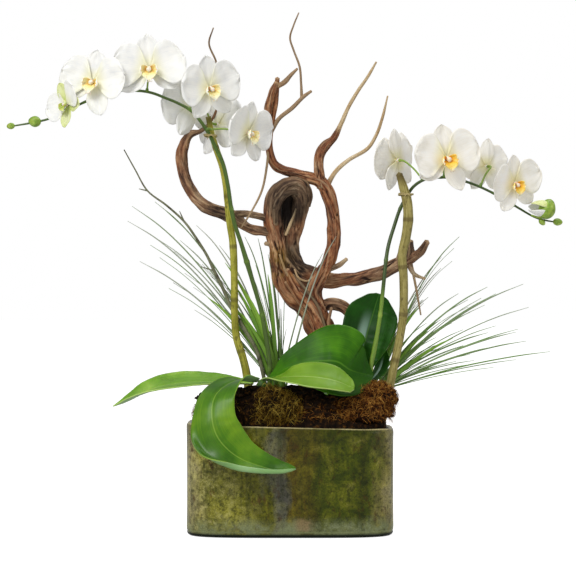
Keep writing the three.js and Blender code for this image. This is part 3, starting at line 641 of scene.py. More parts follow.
def makeGroundCover(look):
    for kind, node, seed in (("moss", "moss_clump", 3), ("coir", "coir_mat", 8)):  # the soft bodies
        balls = [roughBall(centre, radii, 0.87, (seed, 0, 0), 9, 3) for centre, radii in look[kind]]
        dark = makeFibreLook(kind + "Dark", look[kind + "Dark"], True)
        settle(joinPieces(balls), kind + "Body", [node], [dark])
    moss, coir = newShell(), newShell()
    for seed, (centre, radii) in enumerate(look["moss"]):
        addFibres(moss, centre, radii, 620, 11 + 30 * seed, 15, 1.9, 0.3, 0.26, -0.7)
    addFibres(moss, (-62, -30, 168), (38, 20, 14), 300, 12, 11, 1.0, 0.2, 0.24)
    for (centre, radii), count, seed in zip(look["coir"], (1500, 1200), (21, 22)):
        addFibres(coir, centre, [r * 0.94 for r in radii], count, seed, 11, 1.3, 0.05, 0.24)
    addFibres(coir, (34, -36, 160), (48, 18, 16), 760, 23, 11, 1.2, 0.05, 0.24)
    addFibres(coir, (84, -44, 156), (50, 14, 12), 600, 26, 10, 1.2, 0.05, 0.24)
    addFibres(coir, (-116, -20, 158), (14, 26, 18), 240, 24, 8, 0.8, 0.1, 0.22)
    for kind, shell in (("moss", moss), ("coir", coir)):
        pale = makeFibreLook(kind + "Fibre", look[kind + "Fibre"], False)
        shellPiece(shell, kind + "Fibres", (), [pale])


makeMound(moundLook)
makeHump(coverLook)
scatterChips(moundLook)
makeGroundCover(coverLook)
print("growing medium, moss and coir made")


# driftwood

trunkRoute = [
    [58, 22, 133, 12], [55, 22, 173, 13], [50, 28, 222, 13], [43, 36, 251, 13], [32, 40, 276, 12.5],
    [20, 42, 298, 11], [4, 42, 313, 12], [-9, 40, 330, 12], [-15, 38, 353, 11.5],
    [-17, 35, 378, 11.5], [-21, 33, 403, 12], [-24, 31, 433, 12.5], [-19, 29, 453, 13],
    [-7, 28, 464, 13], [7, 30, 466, 12.5], [15, 34, 456, 12], [15, 40, 439, 11.5], [9, 46, 419, 11],
    [3, 50, 397, 11], [2, 52, 375, 11], [11, 52, 356, 11], [34, 50, 343, 11.5], [64, 48, 337, 10.5],
    [96, 46, 340, 10], [123, 44, 347, 9.5], [147, 42, 359, 9.5], [164, 40, 368, 8], [176, 38, 375, 6],
    [187, 36, 390, 4.4],
]
limbRoutes = [  # how red and pale each limb is, how much painted shade darkens it, and its route
    (1.0, 0.3, 0, [  # the red limb beside the trunk
        [61, 32, 208, 10], [56, 34, 251, 11], [47, 32, 280, 11.5], [36, 30, 303, 11],
        [33, 29, 323, 10.5], [42, 28, 343, 10], [54, 31, 367, 9.5], [60, 34, 396, 9.5],
        [60, 34, 423, 9.5], [54, 33, 449, 9.5], [43, 32, 469, 9], [29, 32, 476, 8], [10, 32, 481, 7],
        [-10, 32, 487, 6.4], [-22, 32, 496, 5.8], [-28, 30, 518, 5], [-27, 29, 539, 4.5],
        [-23, 28, 560, 4], [-19, 27, 583, 3.8], [-17, 26, 611, 3.4]]),
    (0.1, 0.12, 0, [  # short branch from it
        [-28, 29, 533, 3], [-16, 29, 555, 3.2], [3, 30, 571, 3], [18, 31, 586, 2.8], [29, 32, 594, 2]]),
    (0.3, 0.25, 0.1, [  # its tip
        [-18, 26, 599, 3.4], [-7, 26, 606, 3.6], [1, 27, 615, 2.8], [10, 28, 624, 1.8]]),
    (1.0, 0.6, 0.05, [  # stub that bends back
        [-18, 25, 605, 3.6], [-24, 23, 591, 5], [-29, 22, 573, 5.6], [-32, 22, 559, 5.2],
        [-43, 21, 551, 3.6]]),
    (0.1, 0.35, 0, [  # thin root that hangs down
        [-28, 30, 529, 2.2], [-31, 27, 495, 1.8], [-38, 24, 459, 1.6], [-52, 20, 430, 1.4],
        [-66, 17, 408, 1.2]]),
    (0.0, 0.16, 0, [  # tallest twig
        [16, 31, 583, 2.2], [15, 31, 605, 1.7], [13, 30, 627, 1.6], [5, 29, 649, 1.4],
        [0, 29, 666, 1.4], [5, 29, 683, 1.2], [12, 29, 700, 0.9]]),
    (0.7, 1.0, 0, [  # pale twig to the right
        [44, 32, 463, 7.5], [39, 32, 489, 7.5], [41, 32, 509, 7], [48, 31, 520, 7], [59, 31, 529, 4.8],
        [70, 31, 551, 3.1], [81, 30, 575, 2.7], [93, 30, 595, 2.5], [106, 29, 614, 2.2],
        [117, 28, 633, 1.4]]),
    (0.6, 1.0, 0, [  # lower pale twig
        [46, 33, 457, 4.6], [62, 36, 485, 3.1], [80, 38, 501, 2.8], [106, 40, 517, 2.6],
        [118, 40, 536, 2.4], [126, 39, 559, 2.1], [133, 38, 588, 1.2]]),
    (0.2, 0.5, 0, [[50, 30, 353, 6], [65, 27, 357, 4], [77, 24, 366, 2.6]]),  # spur under the loop
    (0.2, 0.2, 0, [  # stump at the right arm's end
        [150, 42, 355, 9], [159, 41, 374, 11], [159, 40, 391, 9.5]]),
    (0.2, 0.6, 0, [[161, 41, 363, 5], [169, 40, 346, 3], [184, 38, 339, 1.8]]),  # rootlet below it
    (0.1, 0.5, 0, [  # thinner rootlet
        [166, 40, 355, 2.4], [170, 40, 336, 1.8], [174, 38, 313, 1.5], [178, 37, 290, 1.1]]),
    (0.5, 0.1, 0.1, [  # short arm at the foot
        [40, 36, 301, 8], [58, 36, 305, 8.5], [75, 36, 298, 8], [87, 35, 283, 5.5]]),
    (0.36, 0.2, 0, [  # left arm, with its thin end
        [-16, 34, 401, 8], [-38, 32, 404, 6.5], [-56, 31, 408, 6.4], [-80, 30, 424, 9],
        [-102, 29, 432, 9], [-118, 28, 440, 9], [-131, 28, 454, 8.8], [-141, 28, 472, 8.4],
        [-146, 29, 493, 8], [-145, 30, 517, 7.4], [-136, 31, 534, 5.4], [-121, 32, 540, 3],
        [-107, 33, 554, 1.9], [-95, 35, 584, 1.6], [-93, 35, 608, 1.5], [-101, 34, 636, 1.4],
        [-110, 33, 659, 1.3], [-104, 32, 680, 0.9]]),
    (0.2, 0.1, 0.1, [  # strand along the left arm
        [-22, 32, 417, 5.4], [-38, 30, 423, 5], [-57, 29, 427, 5], [-76, 29, 427, 5.4]]),
    (0.3, 0.0, 0.75, [[-3, 42, 459, 8], [-4, 45, 433, 9.5], [-8, 45, 401, 8]]),  # back of the hood, painted dark as shade inside the loop
    (0.9, 0, 0.5, [  # strand at the back of the trunk, painted darker as shade
        [-12, 38, 372, 8], [-1, 41, 350, 12], [13, 43, 330, 14], [27, 42, 307, 14], [37, 38, 284, 12],
        [44, 32, 262, 9]]),
    (1.0, 0, 0, [  # strand in front of it
        [-4, 24, 352, 3.5], [2, 25, 336, 6.5], [14, 25, 318, 8], [28, 22, 300, 8.5],
        [38, 18, 276, 8.5], [44, 14, 248, 7.5], [47, 14, 222, 6]]),
]
driftwoodLook = {"lump": 0.22, "ridge": 0.15, "fine": 0.07, "crevice": 0.2, "twist": 0.012, "knotGap": 40}
rootRoutes = [  # thin roots that cling to the trunk, the lumps of the loop, and a dark tube of painted shade along a crevice
    (0.3, 0.9, 0, [[6, 27, 352, 1.2], [12, 26, 340, 1.5], [24, 30, 336, 1.4], [34, 36, 345, 1]]),
    (0.6, 0.4, 0, [
        [-14, 24, 372, 1.4], [-7, 21, 352, 1.7], [3, 24, 332, 1.8], [12, 28, 312, 1.7],
        [27, 28, 288, 1.4]]),
    (0.9, 0, 0.1, [
        [-6, 28, 335, 2.4], [10, 26, 312, 2.8], [26, 26, 286, 3], [37, 22, 258, 2.6],
        [43, 18, 226, 2]]),
    (1.0, 0, 0.1, [[56, 22, 300, 2], [52, 19, 278, 2.4], [56, 16, 250, 2.6], [52, 12, 218, 2.4]]),
    (0.2, 0.2, 0.1, [[-18, 32, 383, 4], [-27, 30, 386, 3.6], [-34, 29, 387, 3]]),  # knob on the left arm
    (0.3, 0, 1.1, [  # dark tube laid along the crevice between strands: painted shade
        [4, 27, 345, 1.5], [14, 24, 333, 2.4], [24, 22, 321, 2.8], [35, 20, 305, 3], [43, 17, 286, 3],
        [49, 14, 264, 2.6]]),
    (0.3, 0, 0.3, [  # roof of the hood
        [-22, 30, 438, 10], [-15, 28, 455, 11.5], [0, 28, 467, 11.5], [15, 31, 466, 10],
        [23, 34, 452, 8], [22, 38, 438, 6]]),
    (0.1, 0, 0.45, [  # dark lip of the hood
        [-20, 24, 412, 4], [-19, 21, 432, 5.4], [-11, 20, 450, 5.4], [2, 22, 457, 4.6],
        [12, 26, 454, 3]]),
    (0.2, 1, 0, [[-6, 22, 398, 1.6], [0, 19, 412, 2.2], [5, 20, 424, 1.6], [8, 24, 434, 1]]),
]


def gnarled(look, seed, red, pale, dark=0):
    # the wood's section: lumps, knots, ridges that wind along it, and crevices between them, with a third
    # tone of painted shade that is deepest in the crevices
    draw = random.Random(seed)
    knots = [(look["knotGap"] * (i + draw.uniform(0.2, 0.8)), draw.uniform(0, 6.28),
              draw.uniform(0.08, 0.24), draw.uniform(4, 9)) for i in range(14)]

    def shape(turn, along, radius):
        wound = turn + along * look["twist"]
        way = Vector((math.cos(wound), math.sin(wound), 0))
        lump = noise.noise(way * 0.9 + Vector((0, 0, along / 21 + 5 * seed)))
        ridge = noise.noise(way * 1.7 + Vector((seed, 3, along / 46)))
        fine = noise.noise(way * 4.4 + Vector((7, seed, along / 22)))
        split = smooth(noise.noise(way * 0.7 + Vector((seed, 9, along / 34))), -0.15, 0.2)
        gap = split * max(0, 1 - abs(ridge + 0.3 * fine) * 5) ** 2
        knot = sum(size * math.exp(-((along - at) / wide) ** 2 - (1 - math.cos(turn - face)) / 0.4)
                   for at, face, size, wide in knots if abs(along - at) < 25)
        size = smooth(radius, 1.5, 7)
        factor = 0.96 + look["lump"] * lump * (0.4 + 0.6 * size) + knot * size + size * (
            look["ridge"] * ridge + look["fine"] * fine - look["crevice"] * gap)
        thin = 1 - smooth(radius, 2.2, 5)
        return (max(0.55, min(1.16, factor)),
                (red + 0.25 * lump, max(pale * thin, 0.3 * ridge), min(1, 0.9 * gap * size + dark)))
    return shape


def makeDriftwood(look):
    shell = newShell()
    limbs = [(1, 48, 2, (0.7, 0), trunkRoute)]  # seed, sides, step, tones and route
    for seed, (*tones, route) in enumerate(limbRoutes, start=2):
        thick = max(point[3] for point in route)
        sides, step = (40, 2.2) if thick > 7 else (22, 2.2) if thick > 4 else (12, 3.2)
        limbs.append((seed, sides, step, tones, route))
    for seed, (*tones, route) in enumerate(rootRoutes, start=30):
        limbs.append((seed, 32 if route[1][3] > 6 else 14, 2, tones, route))
    for seed, sides, step, tones, route in limbs:
        addTube(shell, route, sides=sides, step=step, twist=look["twist"],
                shape=gnarled(look, seed, *tones))
    return shellPiece(shell, "driftwoodLimbs", ["driftwood"], [makeBark(barkLook)])


barkLook = {
    "grey": [(0.34, "130b07"), (0.43, "47352a"), (0.53, "80674f"), (0.67, "c0ab8e")],
    "rusty": [(0.34, "1a0702"), (0.42, "66280c"), (0.51, "ab561f"), (0.6, "da8f50"), (0.71, "eec494")],
    "tan": [(0.32, "8a6a44"), (0.44, "c6a678"), (0.56, "e0caa2"), (0.7, "f0e3c6")],
    # crevice and the three colours after hood are painted shade; the last colour is a painted highlight
    "moss": "8a6a22", "groove": "1c0e07", "crevice": "0d0604", "hood": "2c1a0e", "shadeBehind": "1c100a",
    "hoodInsideShade": "0d0604", "concaveShade": "120906", "edgeHighlight": "d6b48a",
}


def makeBark(look):
    bark = newMaterial("driftwoodBark", Roughness=0.7, Specular_IOR_Level=0.22)
    # the third tone is painted shade
    red, bare, dark = tonesOf(bark)
    grain = cloud(bark, aroundPlace(bark, (1.5, 1.5, 0.8)), 1.5, 9, 0.66, 0.6)
    fine = cloud(bark, aroundPlace(bark, (6, 6, 1.2)), 1.6, 6, 0.7, 0.3)
    patch = cloud(bark, objectPlace(bark), 30, 5, 0.6)
    spread = cloud(bark, objectPlace(bark), 13, 3, 0.5)
    value = plus(bark, times(bark, grain, 0.62), times(bark, patch, 0.38))
    grey, rusty, tan = [ramp(bark, value, look[name]) for name in ("grey", "rusty", "tan")]
    hood = near(bark, (-2, 28, 446), 22, 44)
    shadeBehind = near(bark, (10, 50, 366), 12, 36)  # painted shade on the strand at the back of the trunk
    # less red near the hood, which is greyer wood, and on the strand at the back of the trunk, under its
    # painted shade
    hoodGreyShadeBehind = maths(bark, "MULTIPLY_ADD", maths(bark, "MAXIMUM", hood, shadeBehind), -0.55, 0.5)
    rightEnd = between(bark, splitUp(bark, objectPlace(bark))["X"], 0.08, 0.12, 1.0, 0.35)
    share = between(bark, plus(bark, red, times(bark, spread, 1.1)), 0.65, 1.4)
    colour = blendColours(bark, times(bark, share, rightEnd, hoodGreyShadeBehind), grey, rusty)
    edge = add(bark, "ShaderNodeNewGeometry").outputs["Pointiness"]
    shares = {  # how much of each colour lies over those before it
        "moss": times(bark, near(bark, (-12, 24, 356), 10, 36), between(bark, patch, 0.4, 0.56), 0.8),
        "groove": ramp(bark, fine, [(0.38, 0.6), (0.5, 0.0)]),
        # painted shade in the crevices and on the limbs given a dark share
        "crevice": between(bark, dark, 0.1, 0.9, 0.0, 0.9),
        "hood": times(bark, hood, 0.22),
        # painted shade on the strand at the back of the trunk
        "shadeBehind": times(bark, shadeBehind, 0.5),
        # the space inside the hood's loop is painted darker: painted shade
        "hoodInsideShade": times(bark, near(bark, (2, 34, 430), 10, 26), 0.75),
        # concave places are painted darker: painted shade
        "concaveShade": between(bark, edge, 0.44, 0.497, 0.75, 0.0),
        # convex edges are painted lighter: a painted highlight, kept off the hood
        "edgeHighlight": times(bark, between(bark, edge, 0.507, 0.56, 0.0, 0.45),
                      maths(bark, "SUBTRACT", 1.0, hood)),
    }
    colour = blendColours(bark, between(bark, bare, 0.05, 0.8), colour, tan)
    drive(bark, "Base Color", paintOver(
        bark, colour, *[(share, look[name]) for name, share in shares.items()]))
    bumps(bark, plus(bark, grain, fine), 1.6, 0.8)
    return bark


makeDriftwood(driftwoodLook)
print("driftwood made")


# stakes, ties, twig

stickLook = {
    "stakeLeft": {
        "node": "stake_left", "slot": "stake_green", "bark": "greenStake", "seed": 1, "sides": 20,
        "step": 3, "roundTip": 0.1, "joints": (120, 190, 262, 330, 398), "streak": "4a3f16",
        "darkEnd": (-110, 7, 557),
        "colours": [(0.32, "514d0c"), (0.46, "8a8722"), (0.58, "b0aa44"), (0.74, "d2cc7c")],
        "route": [
            [-52, 22, 123, 5.8], [-58, 20, 206, 5.8], [-64, 20, 233, 5.4], [-72, 19, 259, 5.2],
            [-75, 18, 293, 5], [-75, 16, 335, 5], [-77, 14, 388, 5], [-81, 13, 413, 4.8],
            [-86, 11, 464, 4.8], [-91, 10, 490, 4.6], [-99, 9, 513, 4.4], [-105, 8, 533, 4.2],
            [-110, 7, 557, 3.8]]},
    "stakeRight": {
        "node": "stake_right", "slot": "stake_olive", "bark": "oliveStake", "seed": 4, "sides": 20,
        "step": 3, "roundTip": 0.7, "joints": (110, 172, 236, 300), "streak": "50401c",
        "darkEnd": (146, -4, 479),
        "colours": [(0.32, "534a1c"), (0.46, "877c40"), (0.58, "a69a5c"), (0.74, "c6bb8a")],
        "route": [
            [118, 12, 123, 6], [136, 8, 203, 6], [142, 6, 233, 5.8], [147, 4, 257, 5.6],
            [152, 2, 293, 5.8], [152, 0, 344, 6], [150, -2, 370, 6.2], [155, -3, 394, 6.6],
            [158, -4, 417, 7], [157, -4, 440, 6.8], [152, -4, 460, 6], [146, -4, 479, 4.6]]},
    "twigShoot": {
        "node": "twig", "slot": "twig", "bark": "twigBark", "seed": 7, "sides": 10,
        "step": 4, "roundTip": 0.5, "joints": (90, 150, 215, 270, 330, 380), "streak": "2c2018",
        "darkEnd": (0, 0, 0),
        "colours": [(0.30, "3c3c26"), (0.45, "5f6144"), (0.60, "85866a"), (0.78, "a6a690")],
        "route": [
            [-30, 22, 143, 2.8], [-33, 20, 192, 2.8], [-45, 21, 241, 2.7], [-61, 25, 270, 2.6],
            [-80, 29, 301, 2.5], [-91, 31, 326, 2.4], [-103, 34, 350, 2.2], [-113, 36, 371, 2],
            [-128, 38, 395, 1.8], [-144, 40, 417, 1.6], [-168, 40, 439, 1.4], [-194, 40, 459, 1.2],
            [-211, 40, 488, 1], [-226, 40, 515, 0.8]],
        "shoots": [  # where each small side shoot starts and ends
            ((-103, 34, 350), (-122, 30, 356)), ((-144, 40, 417), (-150, 34, 431)),
            ((-80, 29, 301), (-74, 26, 318)), ((-194, 40, 459), (-206, 44, 462))]},
}
tieLook = {
    "colours": [(0.3, "7d6b3c"), (0.6, "b8a871"), (0.8, "d8cca0")],
    "turns": 2.6, "steps": 40, "thick": 0.62,
    # its node, its middle, how far it reaches round the sticks, and how far it leans
    "tieLeft": ("tie_left", (-106.5, 2, 531), 8.5, 12.3, -0.5),
    "tieRight": ("tie_right", (155.2, -0.7, 452), 9.9, 11.7, 0.2),
}


def stick(seed, joints):
    # a stick's section, a little uneven, with a swelling at each joint
    def shape(turn, along, radius):
        way = Vector((math.cos(turn), math.sin(turn), along / 40 + seed))
        swell = sum(math.exp(-((along - joint) / 5) ** 2) for joint in joints)
        return 0.97 + 0.06 * noise.noise(way) + 0.06 * swell, (0.5, swell, 0)
    return shape


def makeStickLook(look):
    wood = newMaterial(look["bark"], Roughness=0.5, Specular_IOR_Level=0.3)
    grain = cloud(wood, aroundPlace(wood, (3, 3, 0.6)), 1.6, 6, 0.65)
    patch = cloud(wood, objectPlace(wood), 45, 5, 0.6)
    spots = cloud(wood, objectPlace(wood, (1, 1, 0.5)), 240, 4, 0.6)
    colour = ramp(wood, plus(wood, times(wood, grain, 0.6), times(wood, patch, 0.4)), look["colours"])
    drive(wood, "Base Color", paintOver(
        wood, colour, (ramp(wood, spots, [(0.58, 0.0), (0.68, 0.7)]), look["streak"]),
        (times(wood, near(wood, look["darkEnd"], 5, 20), 0.75), look["streak"]),
        (between(wood, tonesOf(wood)["Y"], 0.45, 0.95, 0.0, 0.6), look["streak"])))  # at the joints
    bumps(wood, grain, 0.7, 0.6)
    return wood


def makeSticks(looks):
    for name, look in looks.items():
        shell = newShell()
        addTube(shell, look["route"], sides=look["sides"], step=look["step"],
                shape=stick(look["seed"], look["joints"]), roundTip=look["roundTip"])
        for foot, tip in look.get("shoots", ()):
            middle = [lerp(a, b, 0.5) for a, b in zip(foot, tip)]
            addTube(shell, [[*foot, 1], [*middle, 0.9], [*tip, 0.5]], sides=7, step=4)
        shellPiece(shell, name, [look["node"]], [makeStickLook(look)])


def makeTies(look):
    raffia = newMaterial("raffia", Roughness=0.7)
    grain = cloud(raffia, aroundPlace(raffia, (3, 3, 0.6)), 2, 4, 0.6)
    drive(raffia, "Base Color", ramp(raffia, grain, look["colours"]))
    bumps(raffia, grain, 0.3, 0.6)
    for name in ("tieLeft", "tieRight"):
        node, (x, y, z), reachX, reachY, lean = look[name]
        shell, coil = newShell(), []
        for i in range(look["steps"] + 1):
            turn = 2 * math.pi * look["turns"] * i / look["steps"] + 0.6
            rise = lerp(-1.5, 1.5, i / look["steps"])
            coil.append([x + reachX * math.cos(turn) + lean * rise, y + reachY * math.sin(turn),
                         z + rise, look["thick"]])
        addTube(shell, coil, sides=8, step=1.6)
        x, y = x + 1, y - reachY - 0.2  # the knot in front, with its two loose ends
        for dx, dz in ((-5, -6), (5.5, -4.5)):
            addTube(shell, [[x, y, z, 0.8], [x + dx * 0.5, y - 1.2, z + dz * 0.3, 0.6],
                            [x + dx, y - 0.6, z + dz, 0.35]], sides=7, step=1.5)
        shellPiece(shell, name, [node], [raffia])


makeSticks(stickLook)
makeTies(tieLook)
print("stakes, ties and twig made")


# leaves

leafLook = {"thickness": 1.7, "across": 26, "along": 64, "groove": 0.9}
leafRoutes = {  # the kind of leaf, and its stations, which leafSurface explains
    "leaf_left_long": ("fresh", [
        [-49, -11, 199, 7, 0, -0.2, 1, 35, 35], [-95, -6, 201, 21, 0, -0.3, 1, 30, 25],
        [-145, -4, 200, 28, 0, -0.35, 1, 22, 20], [-185, -6, 192, 26, -0.2, -0.3, 1, 25, 25],
        [-216, -10, 177, 15, -0.3, -0.15, 1, 40, 35], [-236, -12, 169, 2, -0.2, -0.1, 1, 30, 30]]),
    "leaf_left_drape": ("bright", [
        [-44, -24, 203, 7, -0.4, 0.2, 1, 35, 35, 0], [-72, -48, 205, 20, -0.3, -0.2, 1, 25, 25, 0],
        [-97, -74, 187, 28, -0.4, -0.8, 0.6, -8, -26, 0], [-101, -88, 160, 31, -0.25, -1, 0.3, -14, -34, 0],
        [-93, -94, 134, 34, -0.1, -1, 0.2, -8, -22, 60], [-70, -97, 111, 30, 0.1, -1, 0.4, 10, 40, 110],
        [-40, -96, 98, 22, 0, -0.8, 0.7, 25, 50, 120], [-14, -94, 92, 17, 0, -0.6, 0.9, 30, 60, 120],
        [7, -92, 94, 9, -0.2, -0.5, 1, 20, 30, 90]]),
    "leaf_left_light": ("lime", [
        [-34, -23, 204, 6, 0, 0.1, 1, 30, 30], [-8, -51, 210, 19, 0, -0.45, 1, 20, 24],
        [26, -60, 211, 25, 0, -0.65, 0.8, 14, 22], [58, -64, 206, 24, 0.1, -0.65, 0.8, 14, 24],
        [84, -62, 196, 12, 0.3, -0.6, 0.8, 10, 10]]),
    "leaf_left_wide": ("dark", [
        [-27, -10, 206, 8, -0.2, -0.2, 1, 30, 30], [0, -14, 222, 24, 0, -0.7, 0.7, 24, 20],
        [32, -22, 229, 42, 0, -0.85, 0.5, 16, 12], [62, -26, 229, 53, 0, -0.88, 0.45, 10, 14],
        [80, -25, 218, 43, 0, -0.88, 0.45, 12, 16], [96, -24, 213, 31, 0, -0.88, 0.45, 14, 18],
        [111, -21, 211, 6, 0.2, -0.8, 0.5, 10, 10]]),
    "leaf_right_upright": ("deep", [
        [97, 4.5, 203, 7, 0, -1, 0.1, 30, 30], [97, 9, 233, 24, -0.15, -1, 0.1, 24, 10],
        [104, 14, 265, 35, -0.25, -1, 0.1, 16, 6], [113, 16, 295, 34, -0.25, -1, 0, 12, 6],
        [120, 14, 319, 12, -0.2, -1, -0.1, 10, 6]]),
    "leaf_right_small": ("deep", [
        [106, -3, 200, 4, -0.3, -1, 0.3, 30, 30], [121, 12, 215, 9, -0.3, -1, 0.3, 20, 20],
        [127, 22, 231, 8, -0.3, -1, 0.2, 20, 20], [130, 26, 243, 2, -0.3, -1, 0.2, 20, 20]]),
}
crownRoutes = {
    "left": [[-38, -11, 161, 7], [-38, -11, 180, 9], [-38, -11, 194, 9], [-38, -11, 203, 5]],
    "right": [[96, -4, 161, 6], [96, -4, 183, 8], [97, -4, 195, 7.5], [97, -4, 203, 4]],
}
leafKinds = {  # its material's name, deep, middle and light green, the midrib, roughness and gloss
    "bright": ("leafBright", "1f4a02", "457406", "769c16", "93b545", 0.4, 0.24),
    "lime": ("leafLime", "4a7408", "648c14", "7fa228", "bcd57c", 0.4, 0.3),
    "fresh": ("leafFresh", "3f6c0c", "68981c", "9cbf4a", "b5cf74", 0.3, 0.4),
    "dark": ("leafDark", "163a02", "2c5c05", "4d850e", "5d8f28", 0.46, 0.1),
    "deep": ("leafDeep", "0a2a01", "174604", "2f6b0c", "4f7d28", 0.42, 0.14),
    "under": ("leafUnder", "6a9450", "82a86a", "9abb88", "c0d6ac", 0.45, 0.3),
}
leafSheen = {"deep": "9dbbab"}  # the sky's pale sheen beside the midrib
leafTip = {"dark": "123405"}  # a deeper colour towards the tip
sheathColours = [(0.35, "1d3804"), (0.55, "3f640c"), (0.75, "6b8a26")]


def leafSurface(stations, groove):
    # each station: middle line, half width, which way its face looks, the two curls in degrees, and
    # how far the second margin rolls over
    line = splineThrough(stations)
    columns = list(zip(*stations))

    def surface(s, c):
        tangent = tangentAt(line, s)
        face = Vector([blendAlong(columns[i], s) for i in (4, 5, 6)])
        face = (face - tangent * face.dot(tangent)).normalized()
        across = tangent.cross(face)
        half = blendAlong(columns[3], s)
        half *= math.sqrt(max(0, 1 - smooth(s, 0.93, 1.0) ** 2 * 0.9))
        curl = math.radians(blendAlong(columns[7] if c < 0 else columns[8], s))
        roll = math.radians(blendAlong(columns[9], s)) if len(columns) > 9 and c > 0 else 0
        sideways = rise = 0
        parts = 24
        for part in range(parts):  # the blade bends a little more with each step from the midrib
            t = (part + 0.5) / parts * abs(c)
            bend = curl * t + roll * smooth(t, 0.62, 0.86)
            sideways += math.cos(bend) * half * abs(c) / parts
            rise += math.sin(bend) * half * abs(c) / parts
        rise -= groove * math.exp(-(c * half / 2.4) ** 2) * min(1, half / 12)
        wave = 0.5 * noise.noise(Vector((s * 5, c * 1.5, half)))
        return line(s) + across * math.copysign(sideways, c) + face * (rise + wave * min(1, half / 10))

    return surface


def makeLeafLook(kind):
    name, deep, middle, light, rib, roughness, gloss = leafKinds[kind]
    leaf = newMaterial(name, Roughness=roughness, Subsurface_Weight=0.05, Subsurface_Scale=0.003,
                       Coat_Weight=gloss * 0.25, Coat_Roughness=0.2, Specular_IOR_Level=gloss)
    across, along, _ = splitUp(leaf, mapPlace(leaf))
    lines = cloud(leaf, mapPlace(leaf, (46, 0.9, 1)), 1.6, 3, 0.5)  # veins run along the leaf
    patch = cloud(leaf, objectPlace(leaf), 22, 3, 0.5)
    value = plus(leaf, times(leaf, lines, 0.25), times(leaf, patch, 0.75))
    fromRib = maths(leaf, "ABSOLUTE", maths(leaf, "SUBTRACT", across, 0.5))
    layers = [(between(leaf, fromRib, 0.003, 0.018, 0.45, 0.0), rib),
              (between(leaf, fromRib, 0.490, 0.5, 0.0, 0.6), rib)]
    if kind in leafSheen:
        length = times(leaf, between(leaf, along, 0.05, 0.2), between(leaf, along, 0.36, 0.8, 1.0, 0.0))
        band = times(leaf, between(leaf, across, 0.27, 0.4), between(leaf, across, 0.45, 0.5, 1.0, 0.0))
        layers.append((times(leaf, length, band, 0.8), leafSheen[kind]))
    if kind in leafTip:
        layers.append((between(leaf, along, 0.5, 0.8, 0.0, 0.65), leafTip[kind]))
    colour = ramp(leaf, value, [(0.28, deep), (0.5, middle), (0.72, light)])
    drive(leaf, "Base Color", paintOver(leaf, colour, *layers))
    drive(leaf, "Roughness", between(leaf, patch, 0.3, 0.7, roughness - 0.05, roughness + 0.08))
    bumps(leaf, lines, 0.25, 0.3)
    return leaf


def makeLeaves(look):
    looks = {kind: makeLeafLook(kind) for kind in leafKinds}
    for node, (kind, stations) in leafRoutes.items():
        piece = addGrid(look["across"], look["along"])
        piece.data.materials.append(looks[kind])
        piece.data.materials.append(looks["under"])
        shapeGrid(piece, leafSurface(stations, look["groove"]), look["thickness"], 1)
        _, side, shape = node.split("_")
        settle(piece, "leaf" + side.title() + shape.title(),
               [node])


def makeCrowns():
    sheath = newMaterial("leafSheath", Roughness=0.5, Specular_IOR_Level=0.3)
    ribs = cloud(sheath, aroundPlace(sheath, (3, 3, 0.3)), 2, 4, 0.6)
    drive(sheath, "Base Color", ramp(sheath, ribs, sheathColours))
    bumps(sheath, ribs, 0.5, 0.5)
    for side, route in crownRoutes.items():
        shell = newShell()
        addTube(shell, route, sides=24, step=2.5, shape=lambda turn, along, radius: (
            0.98 + 0.05 * math.sin(2 * turn + along / 9), (0.5, 0, 0)))
        shellPiece(shell, "crown" + side.title(), ["crown_" + side], [sheath])


makeLeaves(leafLook)
makeCrowns()
print("leaves made")


# flower spikes

spikeRoutes = {
    "left": [
        [-34, 8, 143, 3.4], [-27, 8, 219, 3.2], [-32, 8, 258, 3.1], [-39, 7, 297, 3], [-50, 5, 335, 3],
        [-58, 3, 362, 3.4], [-66, 1, 388, 2.9], [-74, -1, 412, 2.8], [-79, -2, 435, 2.8],
        [-83, -3, 463, 2.7], [-90, -4, 494, 2.7], [-98, -5, 511, 2.6], [-107, -6, 530, 2.5],
        [-117, -5, 546, 2.3], [-131, -4, 563, 2.1], [-148, -4, 573, 2], [-167, -4, 581, 1.9],
        [-186, -4, 588, 1.9], [-208, -4, 591, 1.8], [-230, -5, 590, 1.7], [-254, -6, 584, 1.7],
        [-279, -7, 573, 1.6], [-300, -8, 563, 1.6], [-321, -8, 553, 1.5], [-341, -8, 548, 1.4],
        [-370, -8, 543, 1.1]],
    "right": [
        [104, -8, 143, 3.2], [108, -8, 222, 3], [112, -9, 242, 3.3], [117, -10, 269, 2.8],
        [121, -10, 296, 2.7], [125, -9, 333, 2.6], [128, -5, 361, 2.5], [132, 0, 384, 2.5],
        [140, 5, 410, 2.4], [148, 8, 433, 2.3], [158, 7, 452, 2.2], [166, 3, 463, 2.1], [178, -2, 471, 2],
        [190, -4, 474, 1.9], [215, -5, 474, 1.8], [238, -5, 468, 1.8], [256, -5, 461, 1.7],
        [282, -5, 448, 1.6], [305, -5, 434, 1.5], [328, -5, 421, 1.3], [342, -5, 417, 1.2],
        [354, -5, 415, 1]],
}
